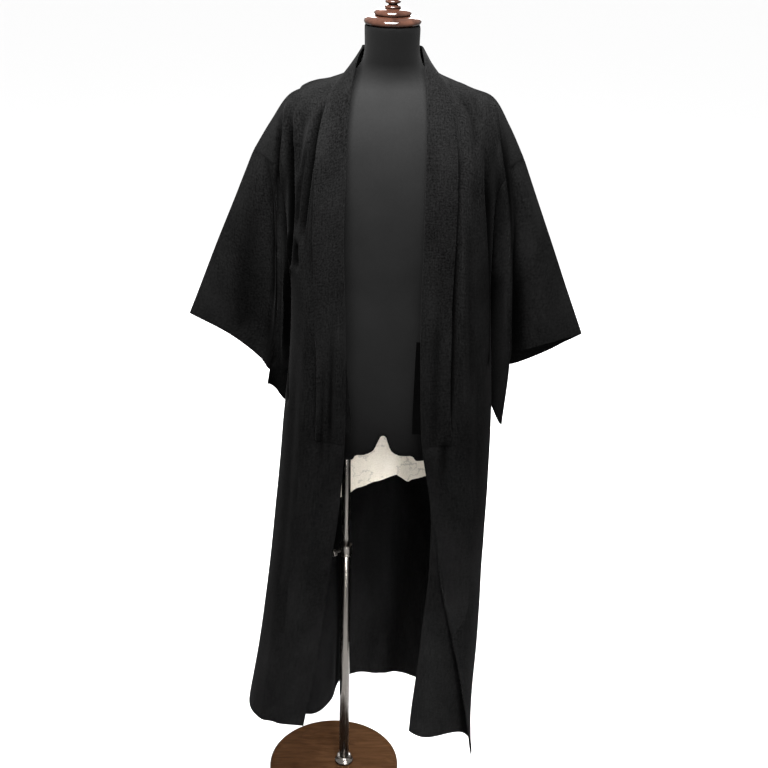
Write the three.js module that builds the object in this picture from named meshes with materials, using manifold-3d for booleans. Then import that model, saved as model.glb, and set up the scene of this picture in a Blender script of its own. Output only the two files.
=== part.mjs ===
// A yukata worn open on a limbless dress form, which stands on a pole with a round wooden base.
// Millimetres, +Z up, the front faces -Y. The origin is the middle of the base's underside.
// Sides are the wearer's: the left side is at +X.
import * as THREE from "three";
import { mergeVertices } from "three/addons/utils/BufferGeometryUtils.js";
import Module from "manifold-3d";

const wasm = await Module();
wasm.setup();

// ---------------------------------------------------------------- driving sizes
const GARMENT_X = 100; // the garment's middle, measured from the base's middle
const POLE_X = 23; // the pole stands off the base's middle and goes up into the right thigh end
const CLOTH = 2; // wall of a single cloth
const COLLAR_WALL = 3; // the collar band is the cloth folded several times
const INSIDE_WALL = 1; // the inner half of the collar band, where it hangs clear
const LINING_WALL = 1.2;
const SEAM_GAP = 0.3;
const LAYER_GAP = 0.5; // between two cloths that lie on each other
const COLLAR_WIDTH = 60;
const CLOTH_CLEAR = 3.5; // the middle of the cloth stays this far off the form at the grid's points
const COLLAR_CLEAR = 3.2;

const BASE = { radius: 148, height: 20, edge: 6 };
const POLE = { lowerRadius: 11.2, upperRadius: 9.4, clampZ: 600, sides: 28 };
const CLAMP = { outer: 14.5, height: 26, screwLength: 20, screwRadius: 3, knobRadius: 8, knobLength: 9 };
const SOCKET = { outer: 21, height: 16 };
const CAP = { bottomZ: 1693.3, radius: 52, height: 15.5, discRadius: 34, discHeight: 12 };
const NECK = { radius: 51, topZ: 1693 };
const FORM_BOTTOM_Z = 845;
// The notch between the thigh ends, seen from the front: across and height.
const NOTCH = [[-60, 800], [-58, 862], [-44, 866], [-31, 870], [-21, 878], [-13, 895], [-6, 911], [-1, 916], [4, 909],
  [10, 889], [17, 875], [28, 868], [44, 865], [60, 862], [62, 800]];

// ---------------------------------------------------------------- materials
const material = (color, roughness, metalness = 0) =>
  new THREE.MeshStandardMaterial({ color, roughness, metalness });
const BLACK_CLOTH = material(0x1d1d1f, 0.85);
const CREAM_CLOTH = material(0xcdc3b4, 0.9);
const JERSEY = material(0x2e2e30, 0.8);
const CHROME = material(0xb8b4ae, 0.2, 1);
const DARK_WOOD = material(0x3e2d1e, 0.45);
const POLISHED_WOOD = material(0x3a1812, 0.2);

const mix = (a, b, t) => a + (b - a) * t;

// ---------------------------------------------------------------- the garment's tables
// Control columns of a body side, from the free front edge to the armhole, and the cells between them.
const COLUMNS = ["edge", "collar", "overlap", "chest", "breast", "tip", "cap", "armhole"];
const COLUMN_CELLS = [3, 1, 2, 2, 3, 3, 2];
// Control rows of the front and of the back, from the shoulder line down to the hem, and the cells between them.
const ROW_CELLS = [2, 2, 2, 2, 2, 2, 2, 2, 2, 2, 3, 3];
const rowStart = (k) => ROW_CELLS.slice(0, k).reduce((a, b) => a + b, 0);
const OVER_SHOULDER = 4; // rows 0 to 3 go over the shoulder, row 4 is the first that hangs
const NECK_ROWS = 3; // the collar reaches the centre back at this row
const OVERLAP_TIP_ROW = 3; // the overlap's point starts here
const COLLAR_END_ROW = 8;
const ARMHOLE_END_ROW = 5; // the sleeve is sewn on down to this row
const UNDERARM_ROW = 6; // from here down the side seam is closed

// The shoulder line, one point for each control column.
const SHOULDER = {
  left: [[54, 2, 1654], [80, 0, 1611], [88, 0, 1605], [112, 0, 1595], [150, 0, 1581], [188, 0, 1566], [222, 0, 1512], [252, 0, 1450]],
  right: [[52, 2, 1654], [75, 0, 1611], [83, 0, 1606], [106, 0, 1597], [148, 0, 1580], [187, 0, 1563], [222, 0, 1514], [256, 0, 1456]],
};

// The sleeve seam on the body, from the shoulder line down to the side seam; back is its depth behind.
const ARMHOLE = {
  left: [
    { x: 234, front: -24, back: 24, z: 1446 },
    { x: 216, front: -44, back: 42, z: 1428 },
    { x: 202, front: -36, back: 34, z: 1380 },
    { x: 198, front: -30, back: 32, z: 1312 },
    { x: 198, front: -27, back: 28, z: 1240 },
  ],
  right: [
    { x: 236, front: -24, back: 24, z: 1452 },
    { x: 216, front: -44, back: 42, z: 1436 },
    { x: 199, front: -36, back: 34, z: 1385 },
    { x: 191, front: -29, back: 32, z: 1312 },
    { x: 189, front: -25, back: 28, z: 1240 },
  ],
};

// Front sections that hang: the free edge, the side, how square the turn between them is, and how far the
// overlap's seam lies from the free edge.
const FRONT = {
  left: [
    { z: 1436, edge: [66, -119], full: 2.7, overlap: 66 },
    { z: 1320, edge: [66, -121], full: 2.7, overlap: 72 },
    { z: 1180, edge: [65, -121], side: [201, -4], full: 2.6, overlap: 77 },
    { z: 1040, edge: [68, -125], side: [211, -4], full: 2.6, overlap: 83 },
    { z: 905, edge: [75, -129], side: [217, 0], full: 2.6, overlap: 88 },
    { z: 760, edge: [97, -130], side: [218, 8], full: 2.7, overlap: 92 },
    { z: 600, edge: [98, -121], side: [214, 18], full: 2.9, overlap: 98 },
    { z: 400, edge: [85, -110], side: [203, 33], full: 3.2, overlap: 108 },
    { z: 194, edge: [68, -103], side: [193, 46, 184], full: 3.6, overlap: 116 },
  ],
  right: [
    { z: 1436, edge: [79, -120], full: 2.5, overlap: 66 },
    { z: 1320, edge: [82, -122], full: 2.5, overlap: 74 },
    { z: 1180, edge: [78, -121], side: [193, -4], full: 2.6, overlap: 84 },
    { z: 1040, edge: [76, -122], side: [197, -6], full: 2.6, overlap: 90 },
    { z: 905, edge: [77, -124], side: [206, -3], full: 2.6, overlap: 92 },
    { z: 760, edge: [87, -125], side: [219, 6], full: 2.6, overlap: 90 },
    { z: 600, edge: [107, -123], side: [236, 8], full: 2.6, overlap: 86 },
    { z: 400, edge: [131, -117], side: [259, 6], full: 2.6, overlap: 80 },
    { z: 206, edge: [163, -111], side: [292, 0, 206], full: 2.6, overlap: 78 },
  ],
};

// Back sections that hang: the centre back's depth, where the back turns forward, where that tuck turns
// outward again, and the wing before the side.
const BACK = {
  left: [
    { z: 1520, back: 98, turn: [124, 98, 1478], tuck: [172, 74, 1420], wing: [191, 50, 1368] },
    { z: 1370, back: 112, turn: [126, 103, 1345], tuck: [174, 76, 1312], wing: [192, 50, 1278] },
    { z: 1180, back: 116, turn: [128, 106], tuck: [176, 78], wing: [196, 44] },
    { z: 1040, back: 120, turn: [126, 110], tuck: [178, 84], wing: [204, 46] },
    { z: 905, back: 126, turn: [110, 112], tuck: [168, 94], wing: [206, 54] },
    { z: 760, back: 133, turn: [86, 113], tuck: [145, 95], wing: [199, 64] },
    { z: 600, back: 138, turn: [74, 108], tuck: [124, 82], wing: [182, 72] },
    { z: 400, back: 143, turn: [74, 106], tuck: [110, 76], wing: [164, 72] },
    { z: 159, back: 149, turn: [77, 112, 172], tuck: [102, 78, 182], wing: [152, 74, 184] },
  ],
  right: [
    { z: 1520, back: 98, turn: [124, 98, 1478], tuck: [168, 76, 1420], wing: [184, 50, 1368] },
    { z: 1370, back: 112, turn: [124, 103, 1345], tuck: [168, 76, 1312], wing: [184, 50, 1278] },
    { z: 1180, back: 116, turn: [126, 106], tuck: [170, 78], wing: [189, 44] },
    { z: 1040, back: 120, turn: [122, 110], tuck: [172, 84], wing: [196, 44] },
    { z: 905, back: 126, turn: [98, 112], tuck: [154, 90], wing: [199, 50] },
    { z: 760, back: 133, turn: [76, 106], tuck: [120, 74], wing: [190, 52] },
    { z: 600, back: 138, turn: [76, 98], tuck: [104, 50], wing: [178, 34] },
    { z: 400, back: 143, turn: [86, 90], tuck: [104, 20], wing: [176, -2] },
    { z: 158, back: 149, turn: [92, 104, 168], tuck: [110, 4, 186], wing: [152, -62, 199] },
  ],
};

// The left front's deep fold, which starts at the free edge below the collar's end and slants outward to the hem:
// the free edge, the ridge, and the point that the cloth turns round on its way to the side.
const FOLD = {
  fromRow: 9,
  rows: [
    { z: 760, edge: [97, -129], ridge: [97, -129], turn: [216, -129] },
    { z: 680, edge: [98, -125], ridge: [108, -141], turn: [219, -136] },
    { z: 600, edge: [98, -121], ridge: [121, -148], turn: [223, -139] },
    { z: 533, edge: [94, -117], ridge: [134, -152], turn: [224, -139] },
    { z: 467, edge: [89, -113], ridge: [148, -155], turn: [224, -136] },
    { z: 400, edge: [85, -110], ridge: [163, -157], turn: [222, -130] },
    { z: 331, edge: [79, -106], ridge: [178, -159], turn: [217, -122] },
    { z: 263, edge: [73, -103], ridge: [192, -160], turn: [212, -110] },
    { z: 194, edge: [68, -102], ridge: [204, -160], turn: [208, -96] },
  ],
  valley: 50, // how deep the cloth dips between the free edge and the ridge at the hem
  hemDrop: 13, // the ridge hangs lower than the free edge
};

// Slight long pleats of the fronts: where each starts and ends (height and control column), how far it stands out
// and how wide it is. A negative push is a valley.
const PLEATS = {
  left: [
    { from: { z: 1560, column: 1.6 }, to: { z: 1150, column: 1.8 }, push: -6, width: 16 },
  ],
  right: [
    { from: { z: 1560, column: 1.6 }, to: { z: 1180, column: 1.8 }, push: -8, width: 16 },
    { from: { z: 1150, column: 1 }, to: { z: 840, column: 0.8 }, push: -6, width: 16 },
  ],
};

// Sleeves: rows from the seam down. Ridge and recess are the fold beside the body, middle lies between the recess
// and the folded top edge, whose points are top; behind is the same on the back cloth.
const SLEEVE = {
  left: {
    rows: [
      { ridge: [229, -42, 1342], recess: [240, -26, 1352], middle: [264, -30, 1366], top: [281, 0, 1375], behind: 0.85 },
      { ridge: [235, -50, 1245], recess: [243, -18, 1250], middle: [284, -32, 1270], top: [319, 0, 1279], behind: 0.85 },
      { ridge: [239, -50, 1180], recess: [247, -14, 1182], middle: [298, -34, 1198], top: [346, 0, 1209], behind: 0.8, inner: [208, -3, 1178] },
      { ridge: [245, -50, 1058], recess: [252, -16, 1056], middle: [313, -30, 1084], top: [389, 0, 1099], behind: 0.8, inner: [219, -2, 1062] },
      { ridge: [238, -36, 913], inner: [222, -4, 948] },
    ],
    backDrop: [0, 0, -8, -34, 0], // the back cloth hangs lower at the cuff
  },
  right: {
    rows: [
      { ridge: [214, -41, 1342], recess: [215, -26, 1352], middle: [260, -30, 1368], top: [289, 0, 1375], behind: 0.85 },
      { ridge: [210, -48, 1245], recess: [218, -22, 1250], middle: [280, -32, 1275], top: [326, 0, 1286], behind: 0.85 },
      { ridge: [212, -44, 1180], recess: [221, -20, 1182], middle: [294, -34, 1206], top: [354, 0, 1217], behind: 0.8, inner: [200, -3, 1178] },
      { ridge: [224, -36, 1026], recess: [246, -20, 1044], middle: [305, -28, 1092], top: [390, 0, 1126], behind: 0.8, inner: [208, -3, 1062] },
      { ridge: [232, -20, 968], inner: [213, -4, 944] },
    ],
    backDrop: [0, 0, -4, -12, 0],
  },
};

// The front grid's row, as a number with a fraction, at a height of the free edge.
function rowAt(z) {
  const k = FRONT.left.findIndex((row) => row.z < z);
  const [high, low] = [FRONT.left[k - 1].z, FRONT.left[k].z];
  const start = rowStart(OVER_SHOULDER + k - 1);
  return start + (ROW_CELLS[OVER_SHOULDER + k - 1] * (high - z)) / (high - low);
}

// The lining inside the back: its rows and the columns that it reaches on each side, and its hem's lift.
const LINING = { firstRow: 6, lastRow: 9.5, lastColumn: "tip" };

// The inner half of the collar band where it hangs clear of the outer half: its first and last row, how far it shows
// there, and how many columns wide it is.
const COLLAR_INSIDE = {
  left: { from: rowAt(1123), to: rowAt(931), shows: [8, 18], reach: 2, rows: 5 },
  right: { from: rowAt(1080), to: rowAt(929), shows: [1, 13], reach: 2, rows: 4 },
};

// Sections of the dress form: height, half width, depth in front and behind, and squareness.
const FORM = [
  { z: 845, half: 150, front: 78, back: 84, full: 2.3 },
  { z: 849, half: 160, front: 88, back: 94, full: 2.3 },
  { z: 862, half: 168, front: 98, back: 103, full: 2.3 },
  { z: 900, half: 172, front: 103, back: 108, full: 2.3 },
  { z: 980, half: 170, front: 102, back: 106, full: 2.3 },
  { z: 1080, half: 156, front: 94, back: 94, full: 2.3 },
  { z: 1180, half: 147, front: 92, back: 88, full: 2.3 },
  { z: 1280, half: 156, front: 100, back: 94, full: 2.35 },
  { z: 1380, half: 170, front: 108, back: 99, full: 2.4 },
  { z: 1450, half: 180, front: 108, back: 98, full: 2.4 },
  { z: 1500, half: 184, front: 102, back: 94, full: 2.4 },
  { z: 1535, half: 184, front: 92, back: 88, full: 2.35 },
  { z: 1556, half: 173, front: 82, back: 82, full: 2.3 },
  { z: 1570, half: 156, front: 74, back: 76, full: 2.25 },
  { z: 1581, half: 134, front: 66, back: 70, full: 2.2 },
  { z: 1591, half: 106, front: 59, back: 64, full: 2.1 },
  { z: 1602, half: 80, front: 54, back: 57, full: 2 },
  { z: 1618, half: 60, front: 51.5, back: 53, full: 2 },
  { z: 1640, half: 51.5, front: 51, back: 51, full: 2 },
  { z: NECK.topZ, half: NECK.radius, front: NECK.radius, back: NECK.radius, full: 2 },
];
const FORM_SIDES = 40;

// ---------------------------------------------------------------- helpers
const vec = (p) => new THREE.Vector3(...p);
const columnStart = (k) => COLUMN_CELLS.slice(0, k).reduce((a, b) => a + b, 0);
const COLLAR_COLUMN = columnStart(COLUMNS.indexOf("collar"));
const OVERLAP_COLUMN = columnStart(COLUMNS.indexOf("overlap"));
const ARMHOLE_COLUMN = columnStart(COLUMNS.indexOf("armhole"));
const HEM_ROW = rowStart(ROW_CELLS.length);

// Points along a smooth curve through the control points, with cells[k] steps between points k and k + 1.
function refine(points, cells) {
  if (points.length < 3) {
    return Array.from({ length: cells[0] + 1 }, (_, s) => points[0].clone().lerp(points[1], s / cells[0]));
  }
  const curve = new THREE.CatmullRomCurve3(points, false, "centripetal");
  const last = points.length - 1;
  const out = [];
  for (let k = 0; k < last; k++) {
    for (let s = 0; s < cells[k]; s++) out.push(curve.getPoint((k + s / cells[k]) / last));
  }
  out.push(points[last].clone());
  return out;
}

// A fine grid through a net of control points; net[row][column].
function refineNet(net, rowCells, columnCells) {
  const across = net.map((row) => refine(row, columnCells));
  const columns = across[0].map((_, j) => refine(across.map((row) => row[j]), rowCells));
  return columns[0].map((_, i) => columns.map((column) => column[i]));
}

// Points on a square-shouldered quarter turn from the free edge to the side, at the wanted distances.
function quarterTurn(edge, side, full, distances) {
  const samples = 90;
  const curve = [];
  for (let k = 0; k <= samples; k++) {
    const a = (k / samples) * (Math.PI / 2);
    const across = Math.sin(a) ** (2 / full);
    const forward = Math.cos(a) ** (2 / full);
    curve.push(new THREE.Vector2(mix(edge.x, side.x, across), mix(side.y, edge.y, forward)));
  }
  const along = [0];
  for (let k = 1; k <= samples; k++) along.push(along[k - 1] + curve[k].distanceTo(curve[k - 1]));
  const total = along[samples];
  return distances(total).map((d) => {
    let k = along.findIndex((length) => length >= Math.min(d, total) - 1e-9);
    k = Math.max(k, 1);
    const t = (Math.min(d, total) - along[k - 1]) / (along[k] - along[k - 1]);
    const p = curve[k - 1].clone().lerp(curve[k], t);
    return new THREE.Vector3(p.x, p.y, mix(edge.z, side.z, (d / total) ** 1.5));
  });
}

// The control points of one hanging front section.
function frontSection(side, index) {
  const row = FRONT[side][index];
  const hole = ARMHOLE[side][index + OVER_SHOULDER - 1];
  const end = row.side ? new THREE.Vector3(row.side[0], row.side[1], row.side[2] ?? row.z)
    : new THREE.Vector3(hole.x, hole.front, hole.z);
  const edge = new THREE.Vector3(row.edge[0], row.edge[1], row.z);
  const free = COLUMNS.length - 3;
  return quarterTurn(edge, end, row.full, (total) => {
    const rest = Array.from({ length: free }, (_, k) => mix(row.overlap, total, (k + 1) / free));
    return [0, COLLAR_WIDTH, row.overlap, ...rest];
  });
}

// The control points of one hanging back section; the edge column repeats the centre back and isn't used.
function backSection(side, index) {
  const row = BACK[side][index];
  const hole = ARMHOLE[side][index + OVER_SHOULDER - 1];
  const front = FRONT[side][index];
  const at = ([x, y, z = row.z]) => new THREE.Vector3(x, y, z);
  const end = front.side ? at([front.side[0], front.side[1], front.side[2] ?? front.z])
    : at([hole.x, hole.back, hole.z]);
  const flat = 0.6 * row.turn[0];
  const flatZ = mix(row.z, row.turn[2] ?? row.z, 0.3);
  return [at([0, row.back]), at([0, row.back]), at([16, row.back]), at([flat, row.back - 2, flatZ]),
    at(row.turn), at(row.tuck), at(row.wing), end];
}

// Rows 1 to 3, over the shoulder, between the shoulder line and the first hanging section.
function shoulderRows(side, hanging, back) {
  const line = SHOULDER[side].map(vec);
  const rows = [];
  for (let k = 1; k < OVER_SHOULDER; k++) {
    const a = (k / OVER_SHOULDER) * (Math.PI / 2);
    const row = line.map((top, c) => {
      const low = hanging[c];
      return new THREE.Vector3(mix(top.x, low.x, Math.sin(a)), mix(top.y, low.y, Math.sin(a)), mix(low.z, top.z, Math.cos(a)));
    });
    if (back) {
      const turn = (k / NECK_ROWS) * (Math.PI / 2);
      row[0] = new THREE.Vector3(line[0].x * Math.cos(turn), 2 + 54 * Math.sin(turn), line[0].z - 6 * Math.sin(turn));
      row[1] = new THREE.Vector3(line[1].x * Math.cos(turn), 64 * Math.sin(turn), line[1].z - 12 * Math.sin(turn));
      row[2] = row[1].clone().lerp(row[3], 0.2);
    }
    const hole = ARMHOLE[side][k - 1];
    const last = COLUMNS.length - 1;
    row[last] = new THREE.Vector3(hole.x, back ? hole.back : hole.front, hole.z);
    row[last - 1] = row[last - 2].clone().lerp(row[last], 0.55);
    row[last - 1].y += back ? 4 : -4;
    rows.push(row);
  }
  return [line, ...rows];
}

// The form's section at a height.
function formSection(z) {
  const k = Math.min(Math.max(FORM.findIndex((row) => row.z >= z), 1), FORM.length - 1);
  const [low, high] = [FORM[k - 1], FORM[k]];
  const t = (z - low.z) / (high.z - low.z);
  return {
    half: mix(low.half, high.half, t), front: mix(low.front, high.front, t),
    back: mix(low.back, high.back, t), full: mix(low.full, high.full, t),
  };
}

// Moves a point straight out of the form until it is clear of it by the wanted distance.
function clearForm(p, clear) {
  const level = (x, y, z) => {
    const { half, front, back, full } = formSection(z);
    return ((Math.abs(x) / half) ** full + (Math.abs(y) / (y > 0 ? back : front)) ** full) ** (1 / full) - 1;
  };
  for (let step = 0; step < 8; step++) {
    if (p.z > NECK.topZ || p.z < FORM_BOTTOM_Z) return;
    const value = level(p.x, p.y, p.z);
    const slope = new THREE.Vector3(level(p.x + 1, p.y, p.z) - value, level(p.x, p.y + 1, p.z) - value, level(p.x, p.y, p.z + 1) - value);
    const distance = value / slope.length();
    if (distance >= clear) return;
    p.addScaledVector(slope.normalize(), Math.min(clear - distance, 20));
  }
}

// Pushes a front grid out along its pleats, measured across each row from the free edge.
function addPleats(grid, pleats) {
  const stations = COLUMNS.map((_, k) => columnStart(k));
  grid.forEach((row) => {
    const along = [0];
    for (let j = 1; j < row.length; j++) along.push(along[j - 1] + row[j].distanceTo(row[j - 1]));
    const distanceAt = (column) => {
      const k = Math.min(Math.floor(column), stations.length - 2);
      return mix(along[stations[k]], along[stations[k + 1]], column - k);
    };
    const moved = row.map((p, j) => {
      const push = new THREE.Vector3();
      const next = row[Math.min(j + 1, row.length - 1)];
      const before = row[Math.max(j - 1, 0)];
      const out = new THREE.Vector3(next.y - before.y, before.x - next.x, 0).normalize();
      for (const pleat of pleats) {
        const t = (pleat.from.z - p.z) / (pleat.from.z - pleat.to.z);
        if (t <= 0 || t >= 1) continue;
        const centre = distanceAt(mix(pleat.from.column, pleat.to.column, t));
        const reach = Math.exp(-(((along[j] - centre) / pleat.width) ** 2));
        push.addScaledVector(out, pleat.push * Math.sin(Math.PI * t) * reach);
      }
      return p.clone().add(push);
    });
    moved.forEach((p, j) => row[j].copy(p));
  });
}

// Lays the lower rows of the left front over its deep fold. The ridge moves out by one column in each row.
function addFold(grid) {
  const start = rowStart(FOLD.fromRow);
  const last = FOLD.rows.length - 1;
  FOLD.rows.forEach(({ z, edge, ridge, turn }, r) => {
    const row = grid[start + r];
    const along = [0];
    for (let j = 1; j < row.length; j++) along.push(along[j - 1] + row[j].distanceTo(row[j - 1]));
    const side = row[row.length - 1].clone();
    const [from, top, pull] = [edge, ridge, turn].map(([x, y]) => new THREE.Vector3(x, y, z));
    top.z -= FOLD.hemDrop * (r / last) ** 4;
    pull.z = mix(top.z, side.z, 0.5);
    const flank = new THREE.QuadraticBezierCurve3(top, pull, side);
    const dip = new THREE.Vector3(from.y - top.y, top.x - from.x, 0).normalize();
    const depth = FOLD.valley * (r / last) ** 2.2;
    row.forEach((p, j) => {
      if (j <= r) {
        const t = r ? j / r : 0;
        p.copy(from).lerp(top, t).addScaledVector(dip, depth * Math.sin(Math.PI * t));
      } else {
        p.copy(flank.getPointAt((along[j] - along[r]) / (along[along.length - 1] - along[r])));
      }
    });
  });
}

// One side of the garment as a front grid and a back grid, both from the shoulder line to the hem.
function makeSide(side) {
  const frontHanging = FRONT[side].map((_, k) => frontSection(side, k));
  const backHanging = BACK[side].map((_, k) => backSection(side, k));
  const front = refineNet([...shoulderRows(side, frontHanging[0], false), ...frontHanging], ROW_CELLS, COLUMN_CELLS);
  const back = refineNet([...shoulderRows(side, backHanging[0], true), ...backHanging], ROW_CELLS, COLUMN_CELLS);
  addPleats(front, PLEATS[side]);
  if (side === "left") addFold(front);
  for (const grid of [front, back]) {
    grid.forEach((row) => row.forEach((p, j) => clearForm(p, j <= COLLAR_COLUMN ? COLLAR_CLEAR : CLOTH_CLEAR)));
  }
  front[0].forEach((p, j) => back[0][j].copy(p));
  for (let i = rowStart(UNDERARM_ROW); i <= HEM_ROW; i++) back[i][ARMHOLE_COLUMN].copy(front[i][ARMHOLE_COLUMN]);
  for (let i = rowStart(NECK_ROWS); i <= HEM_ROW; i++) back[i][COLLAR_COLUMN].x = 0;
  for (let j = 0; j < COLLAR_COLUMN; j++) back[rowStart(NECK_ROWS)][j].x = 0;
  return { front, back };
}

// A sleeve as one grid: rows go down, columns go from the inner edge in front, over the folded top, to the inner
// edge behind. The first row and the inner edges down to the armhole's end are the body's own seam points.
function makeSleeve(side, body) {
  const { rows, backDrop } = SLEEVE[side];
  const seamCells = ROW_CELLS.slice(0, 3);
  const half = rowStart(3);
  const frontSeam = body.front.map((row) => row[ARMHOLE_COLUMN]);
  const backSeam = body.back.map((row) => row[ARMHOLE_COLUMN]);
  const at = (k) => frontSeam[rowStart(k)].clone();
  const controls = [[at(3), at(2), frontSeam[rowStart(2) - 1].clone(), at(1), at(0)]];
  rows.forEach((row, k) => {
    const inner = row.inner ? vec(row.inner) : at(k + 4);
    const ridge = vec(row.ridge);
    controls.push([inner, ridge, vec(row.recess ?? row.ridge), vec(row.middle ?? row.ridge), vec(row.top ?? row.ridge)]);
  });
  const backControls = controls.map((row, k) => {
    if (k === 0) {
      return [0, 1].map((c) => backSeam[rowStart(3 - c)].clone())
        .concat([backSeam[rowStart(2) - 1].clone(), backSeam[rowStart(1)].clone(), row[4].clone()]);
    }
    const table = rows[k - 1];
    const inner = table.inner ? row[0].clone() : backSeam[rowStart(k + 3)].clone();
    const rest = row.slice(1).map((p, c) => {
      const flip = table.recess ? -(table.behind ?? 1) : 1;
      const y = c === 1 && table.recess ? 36 : p.y * flip;
      const drop = c < 3 && table.recess ? backDrop[k - 1] : 0;
      return new THREE.Vector3(p.x + (table.recess && c < 1 ? -2 : 0), y, p.z + drop);
    });
    return [inner, ...rest];
  });
  // Past the cuff the outer columns only carry their line on, so that the cuff's corner stays sharp.
  for (const net of [controls, backControls]) {
    const [before, cuff, end] = net.slice(-3);
    for (let c = 2; c < end.length; c++) end[c] = cuff[c].clone().multiplyScalar(2).sub(before[c]);
  }
  const cells = [seamCells[2], 1, 1, seamCells[0]];
  const rowCells = [ROW_CELLS[3], ROW_CELLS[4], ROW_CELLS[5], 3, 3];
  const front = refineNet(controls, rowCells, cells);
  const back = refineNet(backControls, rowCells, cells);
  for (let j = 0; j <= half; j++) {
    front[0][j].copy(frontSeam[half - j]);
    back[0][j].copy(backSeam[half - j]);
  }
  const sewn = rowStart(ARMHOLE_END_ROW) - half;
  for (let i = 0; i <= sewn; i++) {
    front[i][0].copy(frontSeam[half + i]);
    back[i][0].copy(backSeam[half + i]);
  }
  const closed = rowCells[0] + rowCells[1] + rowCells[2];
  for (let i = closed; i < front.length; i++) back[i][0].copy(front[i][0]);
  const ridgeCells = cells[0];
  for (let j = 0; j <= ridgeCells; j++) back[back.length - 1][j].copy(front[front.length - 1][j]);
  const grid = front.map((row, i) => [...row, ...back[i].slice(0, -1).reverse()]);
  const cuffRow = closed + rowCells[3];
  const width = grid[0].length - 1;
  const active = (i, j) => i < cuffRow || j < ridgeCells || j >= width - ridgeCells;
  return { grid, active };
}

// ---------------------------------------------------------------- sheets and their walls
// A sheet is a grid with a test for its cells; pieces that meet share points, so their walls share normals there.
const sheets = [];

function addSheet(name, grid, active, { wall = CLOTH, flip = false, shift = 0, colour = BLACK_CLOTH, crease } = {}) {
  sheets.push({ name, grid, active, wall, flip, shift, colour, crease });
}

const key = (p) => `${Math.round(p.x * 50)},${Math.round(p.y * 50)},${Math.round(p.z * 50)}`;

function eachCell(sheet, visit) {
  for (let i = 0; i < sheet.grid.length - 1; i++) {
    for (let j = 0; j < sheet.grid[0].length - 1; j++) if (sheet.active(i, j)) visit(i, j);
  }
}

function cellNormal(sheet, i, j) {
  const { grid, flip } = sheet;
  const a = grid[i + 1][j + 1].clone().sub(grid[i][j]);
  const b = grid[i + 1][j].clone().sub(grid[i][j + 1]);
  return (flip ? b.cross(a) : a.cross(b)).normalize();
}

// The welded normal of every point that sheets at the same depth share.
function weldNormals() {
  const normals = new Map();
  for (const sheet of sheets) {
    if (sheet.shift) continue;
    eachCell(sheet, (i, j) => {
      const n = cellNormal(sheet, i, j);
      for (const p of [sheet.grid[i][j], sheet.grid[i + 1][j], sheet.grid[i][j + 1], sheet.grid[i + 1][j + 1]]) {
        const at = key(p);
        if (!normals.has(at)) normals.set(at, new THREE.Vector3());
        normals.get(at).add(n);
      }
    });
  }
  normals.forEach((n) => n.normalize());
  return normals;
}

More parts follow.
